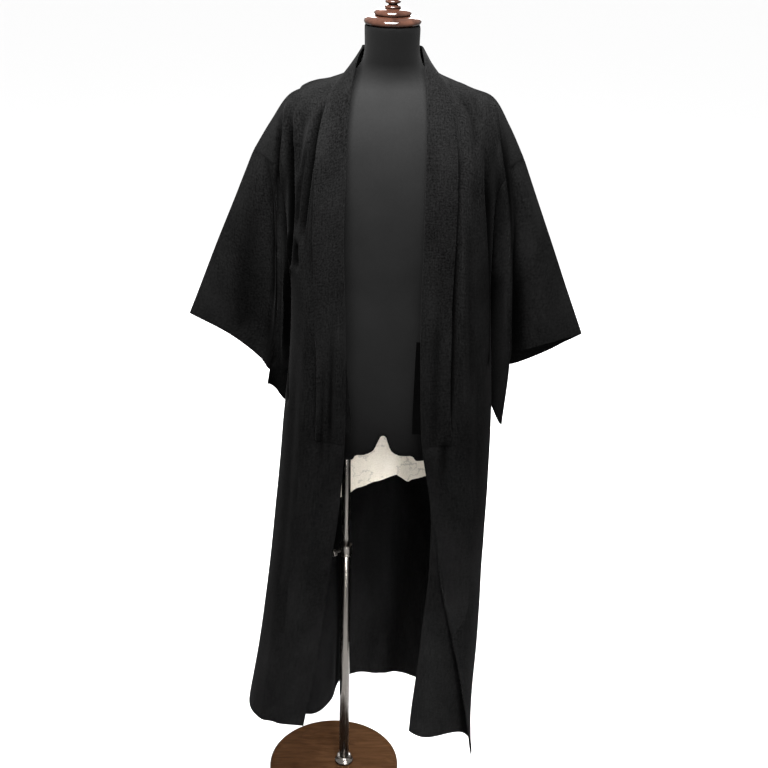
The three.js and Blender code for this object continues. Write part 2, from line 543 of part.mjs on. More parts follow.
// The closed wall of a sheet: both faces, and a strip along each free edge, drawn in by half a seam gap.
function wallGeometry(sheet, normals) {
  const { grid, active, wall, shift, flip } = sheet;
  const isActive = (i, j) => i >= 0 && j >= 0 && i < grid.length - 1 && j < grid[0].length - 1 && active(i, j);
  const cells = [];
  eachCell(sheet, (i, j) => {
    const ring = flip ? [[i, j], [i + 1, j], [i + 1, j + 1], [i, j + 1]] : [[i, j], [i, j + 1], [i + 1, j + 1], [i + 1, j]];
    const neighbours = flip ? [[i, j - 1], [i + 1, j], [i, j + 1], [i - 1, j]] : [[i - 1, j], [i, j + 1], [i + 1, j], [i, j - 1]];
    const [p, q, r, s] = ring.map(([row, column]) => grid[row][column]);
    const turned = sheet.crease?.(i, j) ?? p.distanceTo(r) > q.distanceTo(s) + 1e-6;
    cells.push({ ring, turned, open: neighbours.map(([r, c]) => !isActive(r, c)) });
  });

  // Each free edge pushes its two ends inward; two edges at one point are mitred.
  const ends = new Map();
  for (const { ring, open } of cells) {
    const corners = ring.map(([r, c]) => grid[r][c]);
    const middle = corners.reduce((sum, p) => sum.add(p), new THREE.Vector3()).multiplyScalar(0.25);
    ring.forEach(([r, c]) => {
      if (!ends.has(r * 1000 + c)) ends.set(r * 1000 + c, []);
    });
    open.forEach((isOpen, k) => {
      if (!isOpen) return;
      const [a, b] = [corners[k], corners[(k + 1) % 4]];
      const edge = b.clone().sub(a).normalize();
      const inward = middle.clone().sub(a);
      inward.addScaledVector(edge, -inward.dot(edge)).normalize();
      for (const [r, c] of [ring[k], ring[(k + 1) % 4]]) ends.get(r * 1000 + c).push(inward);
    });
  }
  const positions = [];
  const index = new Map();
  ends.forEach((pushes, id) => {
    const p = grid[Math.floor(id / 1000)][id % 1000];
    const n = normals.get(key(p)) ?? new THREE.Vector3(0, -1, 0);
    const base = p.clone().addScaledVector(n, shift);
    if (pushes.length === 2) {
      const [a, b] = pushes.map((v) => v.clone().addScaledVector(n, -v.dot(n)).normalize());
      base.addScaledVector(a.clone().add(b), (SEAM_GAP * 0.6) / Math.max(0.5, 1 + a.dot(b)));
    }
    index.set(id, positions.length / 3);
    for (const d of [wall / 2, -wall / 2]) positions.push(...base.clone().addScaledVector(n, d).toArray());
  });

  const faces = [];
  const quad = (a, b, c, d) => faces.push(a, b, c, a, c, d);
  const outer = ([r, c]) => index.get(r * 1000 + c);
  const inner = (corner) => outer(corner) + 1;
  for (const { ring, turned, open } of cells) {
    const [a, b, c, d] = turned ? [...ring.slice(1), ring[0]] : ring;
    quad(outer(a), outer(b), outer(c), outer(d));
    quad(inner(c), inner(b), inner(a), inner(d));
    open.forEach((isOpen, k) => {
      if (!isOpen) return;
      const [p, q] = [ring[k], ring[(k + 1) % 4]];
      const rim = [outer(p), inner(p), inner(q), outer(q)];
      const [w, x, y, z] = rim.map((n) => new THREE.Vector3().fromArray(positions, 3 * n));
      quad(...(w.distanceTo(y) <= x.distanceTo(z) ? rim : [...rim.slice(1), rim[0]]));
    });
  }
  const geometry = new THREE.BufferGeometry();
  geometry.setAttribute("position", new THREE.Float32BufferAttribute(positions, 3));
  geometry.setIndex(faces);
  return geometry;
}

// ---------------------------------------------------------------- garment
const mirrored = (grid) => grid.map((row) => row.map((p) => new THREE.Vector3(-p.x, p.y, p.z)));

function buildGarment() {
  const sides = { left: makeSide("left"), right: makeSide("right") };
  for (let i = rowStart(NECK_ROWS); i <= HEM_ROW; i++) {
    sides.right.back[i][COLLAR_COLUMN].copy(sides.left.back[i][COLLAR_COLUMN]);
  }
  for (let j = 0; j < COLLAR_COLUMN; j++) {
    sides.right.back[rowStart(NECK_ROWS)][j].copy(sides.left.back[rowStart(NECK_ROWS)][j]);
  }
  const sleeves = { left: makeSleeve("left", sides.left), right: makeSleeve("right", sides.right) };
  const tipRow = rowStart(OVERLAP_TIP_ROW);
  const collarEnd = rowStart(COLLAR_END_ROW);
  const foldRow = rowStart(FOLD.fromRow);
  const halves = {};
  for (const side of ["left", "right"]) {
    const turned = side === "right";
    const place = turned ? mirrored : (grid) => grid;
    const front = place(sides[side].front);
    const back = place(sides[side].back);
    halves[side] = { front, back };
    const whole = [...[...front].reverse(), ...back.slice(1)];
    const onRidge = (frontRow, j) => !turned && frontRow >= foldRow && j === frontRow - foldRow;
    addSheet(`body_${side}`, whole, (i, j) => {
      if (j < COLLAR_COLUMN) return false;
      const frontRow = HEM_ROW - 1 - i;
      return frontRow < tipRow || j >= OVERLAP_COLUMN;
    }, { flip: turned, crease: (i, j) => (onRidge(HEM_ROW - 1 - i, j) ? true : undefined) });
    addSheet(`overlap_${side}`, front, (i, j) => {
      if (i < tipRow || j >= OVERLAP_COLUMN) return false;
      return j >= COLLAR_COLUMN || i >= collarEnd;
    }, { flip: !turned, crease: (i, j) => (onRidge(i, j) ? false : undefined) });
    const { grid, active } = sleeves[side];
    addSheet(`sleeve_${side}`, place(grid), active, { flip: !turned });
  }
  const neckEnd = rowStart(NECK_ROWS);
  const band = (side) => [
    ...halves[side].front.slice(0, collarEnd + 1).reverse(),
    ...halves[side].back.slice(1, neckEnd + 1),
  ].map((row) => row.slice(0, COLLAR_COLUMN + 1));
  const collar = [...band("left"), ...band("right").reverse().slice(1)];
  addSheet("collar", collar, () => true, { wall: COLLAR_WALL, flip: false });

  for (const side of ["left", "right"]) {
    const { from, to, shows, reach, rows } = COLLAR_INSIDE[side];
    const behind = (COLLAR_WALL + INSIDE_WALL) / 2 + LAYER_GAP + 0.2;
    const strip = Array.from({ length: rows + 1 }, (_, k) => {
      const at = mix(from, to, k / rows);
      const i = Math.min(Math.floor(at), collarEnd - 1);
      const row = halves[side].front[i].map((p, j) => p.clone().lerp(halves[side].front[i + 1][j], at - i));
      const moved = mix(shows[0], shows[1], k / rows) / row[0].distanceTo(row[1]);
      return Array.from({ length: reach + 1 }, (_, j) => {
        const c = Math.max(0, Math.floor(j - moved));
        const p = row[c].clone().lerp(row[c + 1], j - moved - c);
        p.y += behind;
        return p;
      });
    });
    addSheet(`collar_inside_${side}`, strip, () => true, { wall: INSIDE_WALL, flip: side === "left" });
  }

  const firstRow = rowStart(LINING.firstRow);
  const lastColumn = columnStart(COLUMNS.indexOf(LINING.lastColumn));
  const lastRow = rowStart(9) + 1;
  const liningRows = [];
  for (let i = firstRow; i <= lastRow; i++) {
    const left = halves.left.back[i].slice(COLLAR_COLUMN, lastColumn + 1);
    const right = halves.right.back[i].slice(COLLAR_COLUMN, lastColumn + 1);
    liningRows.push([...right.reverse(), ...left.slice(1)]);
  }
  const depth = CLOTH / 2 + LAYER_GAP + LINING_WALL / 2;
  addSheet("seat_lining", liningRows, () => true, { wall: LINING_WALL, flip: false, shift: -depth, colour: CREAM_CLOTH });

  const normals = weldNormals();
  const group = new THREE.Group();
  for (const sheet of sheets) {
    const mesh = new THREE.Mesh(wallGeometry(sheet, normals), sheet.colour);
    mesh.name = sheet.name;
    group.add(mesh);
  }
  return group;
}

// ---------------------------------------------------------------- dress form
function toSolid(geometry) {
  const bare = geometry.index ? geometry.toNonIndexed() : geometry.clone();
  bare.deleteAttribute("normal");
  bare.deleteAttribute("uv");
  const merged = mergeVertices(bare, 1e-4);
  const mesh = new wasm.Mesh({
    numProp: 3,
    vertProperties: new Float32Array(merged.attributes.position.array),
    triVerts: new Uint32Array(merged.index.array),
  });
  return new wasm.Manifold(mesh);
}

function toGeometry(solid) {
  const { vertProperties, triVerts, numProp } = solid.getMesh();
  const positions = [];
  for (let k = 0; k < vertProperties.length; k += numProp) positions.push(...vertProperties.subarray(k, k + 3));
  const geometry = new THREE.BufferGeometry();
  geometry.setAttribute("position", new THREE.Float32BufferAttribute(positions, 3));
  geometry.setIndex([...triVerts]);
  return geometry;
}

// A closed loft of the form's sections.
function formLoft() {
  const positions = [];
  for (const { z, half, front, back, full } of FORM) {
    for (let k = 0; k < FORM_SIDES; k++) {
      const a = (k / FORM_SIDES) * 2 * Math.PI;
      const c = Math.cos(a);
      const s = Math.sin(a);
      const x = half * Math.sign(c) * Math.abs(c) ** (2 / full);
      const y = (s > 0 ? back : front) * Math.sign(s) * Math.abs(s) ** (2 / full);
      positions.push(x, y, z);
    }
  }
  const low = positions.length / 3;
  positions.push(0, 0, FORM[0].z, 0, 0, FORM[FORM.length - 1].z);
  const faces = [];
  const topRing = (FORM.length - 1) * FORM_SIDES;
  for (let k = 0; k < FORM_SIDES; k++) {
    const next = (k + 1) % FORM_SIDES;
    faces.push(low, next, k, low + 1, topRing + k, topRing + next);
    for (let r = 0; r < FORM.length - 1; r++) {
      const a = r * FORM_SIDES;
      const b = a + FORM_SIDES;
      faces.push(a + k, a + next, b + next, a + k, b + next, b + k);
    }
  }
  const geometry = new THREE.BufferGeometry();
  geometry.setAttribute("position", new THREE.Float32BufferAttribute(positions, 3));
  geometry.setIndex(faces);
  return geometry;
}

// A bar with the notch's outline, which runs through from front to back.
function crotchCutter() {
  const outline = new THREE.Shape(NOTCH.map(([x, z]) => new THREE.Vector2(x, z)));
  const cutter = new THREE.ExtrudeGeometry(outline, { depth: 260, bevelEnabled: false });
  cutter.rotateX(Math.PI / 2);
  cutter.translate(0, 130, 0);
  return cutter;
}

function lathe(profile, segments = 36) {
  const points = profile.map(([r, z]) => new THREE.Vector2(r, z));
  const geometry = new THREE.LatheGeometry(points, segments);
  geometry.rotateX(Math.PI / 2);
  return geometry;
}

function tube(inner, outer, bottom, top) {
  const profile = inner ? [[inner, bottom], [outer, bottom], [outer, top], [inner, top], [inner, bottom]]
    : [[0, bottom], [outer, bottom], [outer, top], [0, top]];
  return lathe(profile, POLE.sides);
}

function piece(name, geometry, look, x = 0) {
  const mesh = new THREE.Mesh(geometry, look);
  mesh.name = name;
  mesh.position.x = x;
  return mesh;
}

function buildForm() {
  const group = new THREE.Group();
  const torso = toSolid(formLoft()).subtract(toSolid(crotchCutter()));
  group.add(piece("form_torso", toGeometry(torso), JERSEY));
  const { bottomZ, radius, height, discRadius, discHeight } = CAP;
  const top = bottomZ + height;
  const cap = [[0, bottomZ], [radius - 5, bottomZ], [radius - 1, bottomZ + 2.5], [radius, bottomZ + 5], [radius - 0.8, bottomZ + 8],
    [radius - 3.5, bottomZ + 11], [radius - 9, top - 2], [radius - 14, top], [0, top]];
  group.add(piece("neck_cap", lathe(cap), POLISHED_WOOD));
  const disc = [[0, 0], [discRadius - 2, 0], [discRadius, 2], [discRadius, 5], [discRadius - 2.5, 8], [discRadius - 8, 10],
    [discRadius - 16, discHeight], [0, discHeight]].map(([r, z]) => [r, z + top + SEAM_GAP]);
  group.add(piece("cap_disc", lathe(disc), POLISHED_WOOD));
  const finialBase = top + discHeight + 2 * SEAM_GAP;
  const finial = [[0, 0], [15, 0], [15.5, 3], [12, 5], [8.5, 7], [14, 10], [14, 13], [8.5, 16], [13, 19], [13, 22], [8, 25],
    [12, 28], [14.5, 34], [13.5, 41], [8, 46], [0, 48]].map(([r, z]) => [r, z + finialBase]);
  group.add(piece("finial", lathe(finial, 24), POLISHED_WOOD));
  return group;
}

// ---------------------------------------------------------------- stand
function buildStand() {
  const group = new THREE.Group();
  const { radius, height, edge } = BASE;
  const base = [[0, 0], [radius - 3, 0], [radius, 3], [radius, height - edge], [radius - 2, height - 2], [radius - edge, height], [0, height]];
  group.add(piece("base_disc", lathe(base, 64), DARK_WOOD));
  const floor = height + SEAM_GAP;
  const socket = [[POLE.lowerRadius + SEAM_GAP, floor], [SOCKET.outer, floor], [SOCKET.outer, floor + 5], [SOCKET.outer - 5, floor + SOCKET.height],
    [POLE.lowerRadius + SEAM_GAP, floor + SOCKET.height], [POLE.lowerRadius + SEAM_GAP, floor]];
  group.add(piece("base_socket", lathe(socket, POLE.sides), CHROME, POLE_X));
  group.add(piece("pole_lower", tube(0, POLE.lowerRadius, floor, POLE.clampZ), CHROME, POLE_X));
  group.add(piece("pole_upper", tube(0, POLE.upperRadius, POLE.clampZ + SEAM_GAP, FORM_BOTTOM_Z - SEAM_GAP), CHROME, POLE_X));
  const clampBottom = POLE.clampZ - CLAMP.height + 4;
  const inner = POLE.lowerRadius + SEAM_GAP;
  const clamp = [[inner, clampBottom], [CLAMP.outer, clampBottom], [CLAMP.outer, clampBottom + CLAMP.height], [POLE.upperRadius + SEAM_GAP, clampBottom + CLAMP.height],
    [POLE.upperRadius + SEAM_GAP, POLE.clampZ + 0.3], [inner, POLE.clampZ + 0.3], [inner, clampBottom]];
  group.add(piece("pole_clamp", lathe(clamp, POLE.sides), CHROME, POLE_X));
  const screw = new THREE.Group();
  screw.position.set(POLE_X, 0, clampBottom + CLAMP.height / 2);
  screw.rotation.z = Math.PI * 1.2;
  const reach = CLAMP.outer + SEAM_GAP;
  const knob = reach + CLAMP.screwLength - CLAMP.knobLength;
  const profile = [[0, reach], [CLAMP.screwRadius, reach], [CLAMP.screwRadius, knob], [CLAMP.knobRadius - 1, knob], [CLAMP.knobRadius, knob + 1.5],
    [CLAMP.knobRadius, knob + CLAMP.knobLength - 1.5], [CLAMP.knobRadius - 1.5, knob + CLAMP.knobLength], [0, knob + CLAMP.knobLength]];
  const shape = lathe(profile, 20);
  shape.rotateY(Math.PI / 2);
  screw.add(piece("clamp_screw", shape, CHROME));
  group.add(screw);
  return group;
}

// ---------------------------------------------------------------- whole
const yukata = new THREE.Group();
const worn = new THREE.Group();
worn.position.x = GARMENT_X;
worn.add(buildForm(), buildGarment());
yukata.add(worn, buildStand());

export default yukata;
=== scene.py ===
"""A black yukata worn open on a limbless dress form, on a chrome pole with a round wooden base.

The garment's tables are in millimetres, measured from the middle of the form (X), the pole's depth (Y) and
the floor (Z). Both sides are written as a left side, and the right one is mirrored. The front faces -Y.
"""

from __future__ import annotations

import logging
import math
from dataclasses import dataclass
from enum import Enum

import bmesh
import bpy
import numpy as np
from mathutils import Matrix, Vector

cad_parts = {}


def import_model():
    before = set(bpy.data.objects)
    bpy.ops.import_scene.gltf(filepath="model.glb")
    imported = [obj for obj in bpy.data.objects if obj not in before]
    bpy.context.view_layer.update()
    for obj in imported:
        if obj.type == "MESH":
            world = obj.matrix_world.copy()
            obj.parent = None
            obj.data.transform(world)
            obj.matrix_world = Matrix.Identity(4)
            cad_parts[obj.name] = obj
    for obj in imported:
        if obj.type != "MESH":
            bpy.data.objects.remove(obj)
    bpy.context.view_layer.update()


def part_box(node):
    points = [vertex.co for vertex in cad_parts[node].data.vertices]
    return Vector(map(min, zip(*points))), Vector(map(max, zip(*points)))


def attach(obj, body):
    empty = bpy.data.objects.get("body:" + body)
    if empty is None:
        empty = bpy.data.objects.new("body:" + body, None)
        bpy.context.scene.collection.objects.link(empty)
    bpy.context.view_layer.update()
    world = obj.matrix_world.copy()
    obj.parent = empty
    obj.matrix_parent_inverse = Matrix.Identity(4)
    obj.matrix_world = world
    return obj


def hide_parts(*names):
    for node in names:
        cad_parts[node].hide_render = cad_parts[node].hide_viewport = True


log = logging.getLogger("yukata")

MM = 0.001
GARMENT_X = 100.0  # the form's middle, measured from the base's middle
POLE_X = 23.0  # the pole's middle, measured in the same way
SMOOTH_ANGLE = math.radians(62)
QUARTER = math.pi / 2

# Walls of the cloth, and how far its layers and the form stay apart.
CLOTH_WALL = 1.7
COLLAR_WALL = 3.0
INSIDE_WALL = 1.0
LINING_WALL = 1.2
LAYER_GAP = 0.5
LAYER_EASE = 0.2
COLLAR_WIDTH = 60.0
CLOTH_CLEAR = 3.5
COLLAR_CLEAR = 3.2

# Control columns from the free front edge to the armhole, control rows from the shoulder line to the hem,
# the cells between them, and how many fine cells each of those has.
COLUMNS = ("edge", "collar", "overlap", "chest", "breast", "tip", "cap", "armhole")
COLUMN_CELLS = (3, 1, 2, 2, 3, 3, 2)
ROW_CELLS = (2,) * 10 + (3, 3)
FINE = 6
OVER_SHOULDER = 4
NECK_ROWS = 3
OVERLAP_TIP_ROW = 3
COLLAR_END_ROW = 8
ARMHOLE_END_ROW = 5
UNDERARM_ROW = 6
FOLD_ROW = 9
LINING_ROWS = (6, 9)

# The neck's bend behind: depth and drop of the collar's upper and lower edge, and the depth at the side.
NECK_UPPER = (54, 6)
NECK_LOWER = (64, 12)
NECK_START = 2
ARMHOLE_ROUND = 4  # how far the cloth rounds out beside the armhole

# The sleeve's inner edge below the underarm, tucked beside and behind the body, and the depth of its back.
SLEEVE_ASIDE = 0.4
SLEEVE_BEHIND = 9.0
SLEEVE_BACK = 36

# The seat lining: its lower part's top, the hem of the cells that it is cut from, the height below which it
# hangs loose, its own hem, and its crumples.
LINING_TOP = 850.0
LINING_LOW = 672.0
LINING_LOOSE = 838.0
LINING_FADE = 30.0
LINING_HEM = (
    (-150, 668), (-62, 667), (-31, 668), (-2, 681), (30, 695), (57, 684), (63, 690), (98, 716), (150, 722),
)
LINING_WRINKLES = (
    # size, turns across, turns down, start
    (3.2, 0.021, 0.034, 0.3),
    (2.4, 0.052, -0.027, 1.1),
    (1.6, -0.09, 0.06, 2.0),
    (1.2, 0.13, 0.1, 0.7),
)

# The cloth's slight unevenness: turns across, turns down and start of each wave, and the waves' size.
UNEVEN_WAVES = ((0.031, 0.007, 0.4), (0.017, 0.023, 1.9), (0.047, 0.012, 3.1))
UNEVEN_SIZE = 0.35

# Creases: the steps between the points of a path, how often the path is smoothed, how near to it the points
# lie that set its depth, how far from it its painted shade reaches, and how it fades where the cloth turns
# away.
CREASE_STEPS = 4
CREASE_SMOOTHINGS = 4
CREASE_FIND = 4.0
CREASE_REACH = 60.0
CREASE_TURN = 0.25
CREASE_TURN_SPAN = 0.4

# Points nearer than this, in millimetres, are one, and a wall's rim is sunk by its dip along the seams.
WELD_DISTANCE = 0.02
SEAM_DIP = 0.4
COLLAR_DIP = 0.55
THIN_DIP = 0.1

Point = tuple[float, ...]
Grid = np.ndarray
Socket = bpy.types.NodeSocket


class Side(Enum):
    """The wearer's sides and the sign of their X."""

    LEFT = ("left", 1.0)
    RIGHT = ("right", -1.0)

    @property
    def label(self) -> str:
        """The word used in the names of pieces."""
        return self.value[0]

    @property
    def sign(self) -> float:
        """1 for the left side and -1 for the right."""
        return self.value[1]


class Face(Enum):
    """Which way the cloth that a crease is pressed into looks."""

    FRONT = -1.0
    BACK = 1.0


class Slot(Enum):
    """The material slots of the record."""

    CLOTH = "yukata_cloth"
    LINING = "lining_cloth"
    JERSEY = "form_jersey"
    CHROME = "pole_chrome"
    CAP = "cap_wood"
    BASE = "base_wood"


# ------------------------ tables of the garment


@dataclass(frozen=True)
class FrontRow:
    """A hanging front section: its free edge, its side, how square it turns, and the overlap's seam."""

    z: float
    edge: Point
    full: float
    overlap: float
    side: Point | None = None


@dataclass(frozen=True)
class BackRow:
    """A hanging back section: the centre's depth, the turn forward, the tuck inside it, and the wing."""

    z: float
    back: float
    turn: Point
    tuck: Point
    wing: Point


@dataclass(frozen=True)
class SleeveRow:
    """A row of a sleeve: the ridge and recess beside the body, the middle, and the folded top edge.

    Below the underarm the sleeve hangs free of the body, and inner is the height of its inner edge there.
    """

    ridge: Point
    recess: Point | None = None
    middle: Point | None = None
    top: Point | None = None
    behind: float = 1.0
    inner: float | None = None


@dataclass(frozen=True)
class FoldRow:
    """A row of the left front's deep fold: free edge, ridge, and the point it turns round to the side."""

    z: float
    edge: Point
    ridge: Point
    turn: Point


# The pieces that a crease runs over, and the fade of one that runs on to the hem or the cuff.
FRONT_PIECES = ("body", "overlap")
WHOLE_FRONT = ("collar", "body", "overlap")
SEWN_SLEEVE = ("body", "sleeve")
BODY = ("body",)
SLEEVE = ("sleeve",)
COLLAR = ("collar",)
TO_HEM = (0.3, 0.0)


@dataclass(frozen=True)
class Crease:
    """A soft ridge (depth above 0) or trough (below 0) pressed in along a path of (across, height).

    Dark is how much painted shade darkens the cloth's colour along it, from 0 to 1.
    """

    path: tuple[Point, ...]
    depth: float
    width: float
    face: Face = Face.FRONT
    on: tuple[str, ...] = FRONT_PIECES
    fade: tuple[float, float] = (0.25, 0.25)
    dark: float = 0.0


@dataclass(frozen=True)
class SideTable:
    """All the sections of one side of the garment."""

    shoulder: tuple[Point, ...]
    armhole: tuple[Point, ...]
    front: tuple[FrontRow, ...]
    back: tuple[BackRow, ...]
    sleeve: tuple[SleeveRow, ...]
    back_drop: tuple[float, ...]
    inside: tuple[float, float, float, float]
    creases: tuple[Crease, ...] = ()


LEFT_TABLE = SideTable(
    shoulder=((54, 2, 1654), (80, 0, 1611), (88, 0, 1605), (112, 0, 1595), (150, 0, 1581), (188, 0, 1566),
              (222, 0, 1512), (252, 0, 1450)),
    armhole=((234, -24, 24, 1446), (216, -44, 42, 1428), (202, -36, 34, 1380), (198, -30, 32, 1312),
             (198, -27, 28, 1240)),
    front=(
        FrontRow(1436, (66, -119), 2.7, 66),
        FrontRow(1320, (66, -121), 2.7, 72),
        FrontRow(1180, (65, -121), 2.6, 77, (201, -4)),
        FrontRow(1040, (68, -125), 2.6, 83, (211, -4)),
        FrontRow(905, (75, -129), 2.6, 88, (217, 0)),
        FrontRow(760, (97, -130), 2.7, 92, (218, 8)),
        FrontRow(600, (98, -121), 2.9, 98, (214, 18)),
        FrontRow(400, (85, -110), 3.2, 108, (203, 33)),
        FrontRow(194, (68, -103), 3.6, 116, (193, 46, 184)),
    ),
    back=(
        BackRow(1520, 98, (124, 98, 1478), (172, 74, 1420), (191, 50, 1368)),
        BackRow(1370, 112, (126, 103, 1345), (174, 76, 1312), (192, 50, 1278)),
        BackRow(1180, 116, (128, 106), (174, 78), (187, 42)),
        BackRow(1040, 120, (126, 110), (174, 84), (194, 44)),
        BackRow(905, 126, (110, 112), (166, 94), (201, 52)),
        BackRow(760, 133, (86, 113), (145, 95), (199, 64)),
        BackRow(600, 138, (74, 108), (124, 82), (182, 72)),
        BackRow(400, 143, (74, 106), (110, 76), (164, 72)),
        BackRow(159, 149, (77, 112, 180), (102, 78, 195), (152, 74, 184)),
    ),
    sleeve=(
        SleeveRow((229, -42, 1342), (240, -26, 1352), (264, -30, 1366), (281, 0, 1375), 0.85),
        SleeveRow((235, -50, 1245), (243, -18, 1250), (284, -32, 1270), (319, 0, 1279), 0.85),
        SleeveRow((239, -50, 1180), (247, -14, 1182), (298, -34, 1198), (346, 0, 1209), 0.8, 1178),
        SleeveRow((245, -50, 1058), (252, -16, 1058), (313, -30, 1088), (389, 0, 1099), 0.8, 1062),
        SleeveRow((238, -36, 913), inner=948),
    ),
    back_drop=(0, 0, -10, -43, 0),
    inside=(1123, 931, 8, 18),
    creases=(
        Crease(((110, 1560), (129, 1355), (128, 1150)), -6, 16),
        # Drag lines from the collar over the chest.
        Crease(((118, 1584), (138, 1560), (150, 1530), (156, 1480)), -4, 7, dark=0.4),
        Crease(((112, 1576), (130, 1552), (143, 1510), (150, 1440), (153, 1370)), 3, 10),
        Crease(((140, 1585), (156, 1556), (163, 1520)), -3, 7, dark=0.25),
        # The ridge that runs down from the breast, and the hollow between it and the sleeve.
        Crease(
            ((160, 1510), (165, 1480), (173, 1412), (183, 1339), (189, 1270), (198, 1150), (203, 1040)),
            6, 10, fade=(0.3, 0.1),
        ),
        Crease(
            ((171, 1520), (179, 1430), (190, 1345), (197, 1270), (204, 1180), (208, 1060)),
            -9, 8, on=SEWN_SLEEVE, fade=TO_HEM, dark=0.9,
        ),
        # The ridge of the sleeve beside the body, with the hollow outside it.
        Crease(
            ((188, 1564), (201, 1502), (213, 1432), (229, 1334), (237, 1221), (243, 1080)),
            6, 7, on=SEWN_SLEEVE, fade=(0.03, 0.2),
        ),
        Crease(
            ((194, 1556), (208, 1500), (221, 1430), (236, 1334), (244, 1221), (252, 1060)),
            -9, 6, on=SEWN_SLEEVE, fade=(0.15, 0), dark=0.85,
        ),
        Crease(((246, 1290), (254, 1180), (261, 1060)), -5, 14, on=SLEEVE, fade=(0.5, 0), dark=0.75),
        # The trough just outside the collar, and the overlap's seam standing beside it.
        Crease(
            ((125, 1500), (123, 1455), (120, 1410), (119, 1340),
             (123, 1260), (129, 1131), (128, 1008), (122, 900)),
            -9, 6, fade=(0.15, 0.1), dark=0.75,
        ),
        Crease(
            ((133, 1459), (137, 1360), (141, 1269), (148, 1140), (157, 1009), (164, 900), (170, 800)),
            4, 8, fade=(0.2, 0.3),
        ),
        Crease(((152, 1380), (157, 1260), (164, 1120), (172, 960)), -4, 9, dark=0.3),
        Crease(((180, 1150), (185, 1000), (191, 850), (196, 700)), -5, 11, fade=(0.3, 0.3), dark=0.2),
        Crease(((100, 1180), (99, 1060), (100, 950), (97, 870)), -5, 9, on=COLLAR, dark=0.4),
        Crease(((112, 1080), (116, 980), (120, 860), (118, 790)), -5, 9, dark=0.55),
        Crease(((88, 1320), (90, 1200), (87, 1090)), 3, 9, on=COLLAR),
        # The armhole's seam where it comes out from under the sleeve's ridge.
        Crease(((220, 1441), (234, 1444), (252, 1449)), -1.5, 3.5, on=SEWN_SLEEVE, fade=(0.1, 0), dark=0.8),
        # Soft waves in the hem of the fold.
        Crease(((214, 640), (216, 480), (217, 330), (218, 200)), 3.5, 16, fade=TO_HEM),
        Crease(((150, 560), (165, 420), (180, 300), (190, 190)), -3, 12, fade=TO_HEM),
        # Hidden back: long soft troughs from the shoulder blades and the seat.
        Crease(((40, 1500), (46, 1350), (44, 1200), (40, 1050)), -4, 15, Face.BACK),
        Crease(((92, 1490), (98, 1340), (97, 1180), (90, 1020)), 4, 14, Face.BACK),
        Crease(
            ((70, 1180), (66, 980), (56, 780), (50, 560), (48, 340), (50, 180)),
            -5, 14, Face.BACK, fade=TO_HEM,
        ),
        Crease(((24, 1080), (26, 860), (24, 600), (26, 360), (30, 170)), 3, 12, Face.BACK, fade=TO_HEM),
        Crease(((150, 1360), (156, 1200), (158, 1040), (150, 880)), -5, 11, Face.BACK),
        # Sleeve, in front: drag lines, a soft roll along the outer fold, and waves at the cuff.
        Crease(((256, 1400), (282, 1300), (304, 1200), (328, 1090)), 2.5, 14, on=SLEEVE, fade=TO_HEM),
        Crease(((272, 1330), (300, 1230), (318, 1160)), -2.5, 10, on=SLEEVE),
        Crease(((330, 1240), (346, 1170), (362, 1100)), -2, 10, on=SLEEVE, fade=(0.4, 0)),
        # Sleeve, behind.
        Crease(((236, 1420), (258, 1320), (280, 1210), (296, 1070)), -5, 13, Face.BACK, SLEEVE, TO_HEM),
        Crease(((252, 1400), (290, 1290), (330, 1170), (352, 1080)), 3, 14, Face.BACK, SLEEVE, TO_HEM),
        Crease(((226, 1300), (238, 1180), (244, 1040)), 4, 12, Face.BACK, SLEEVE),
    ),
)

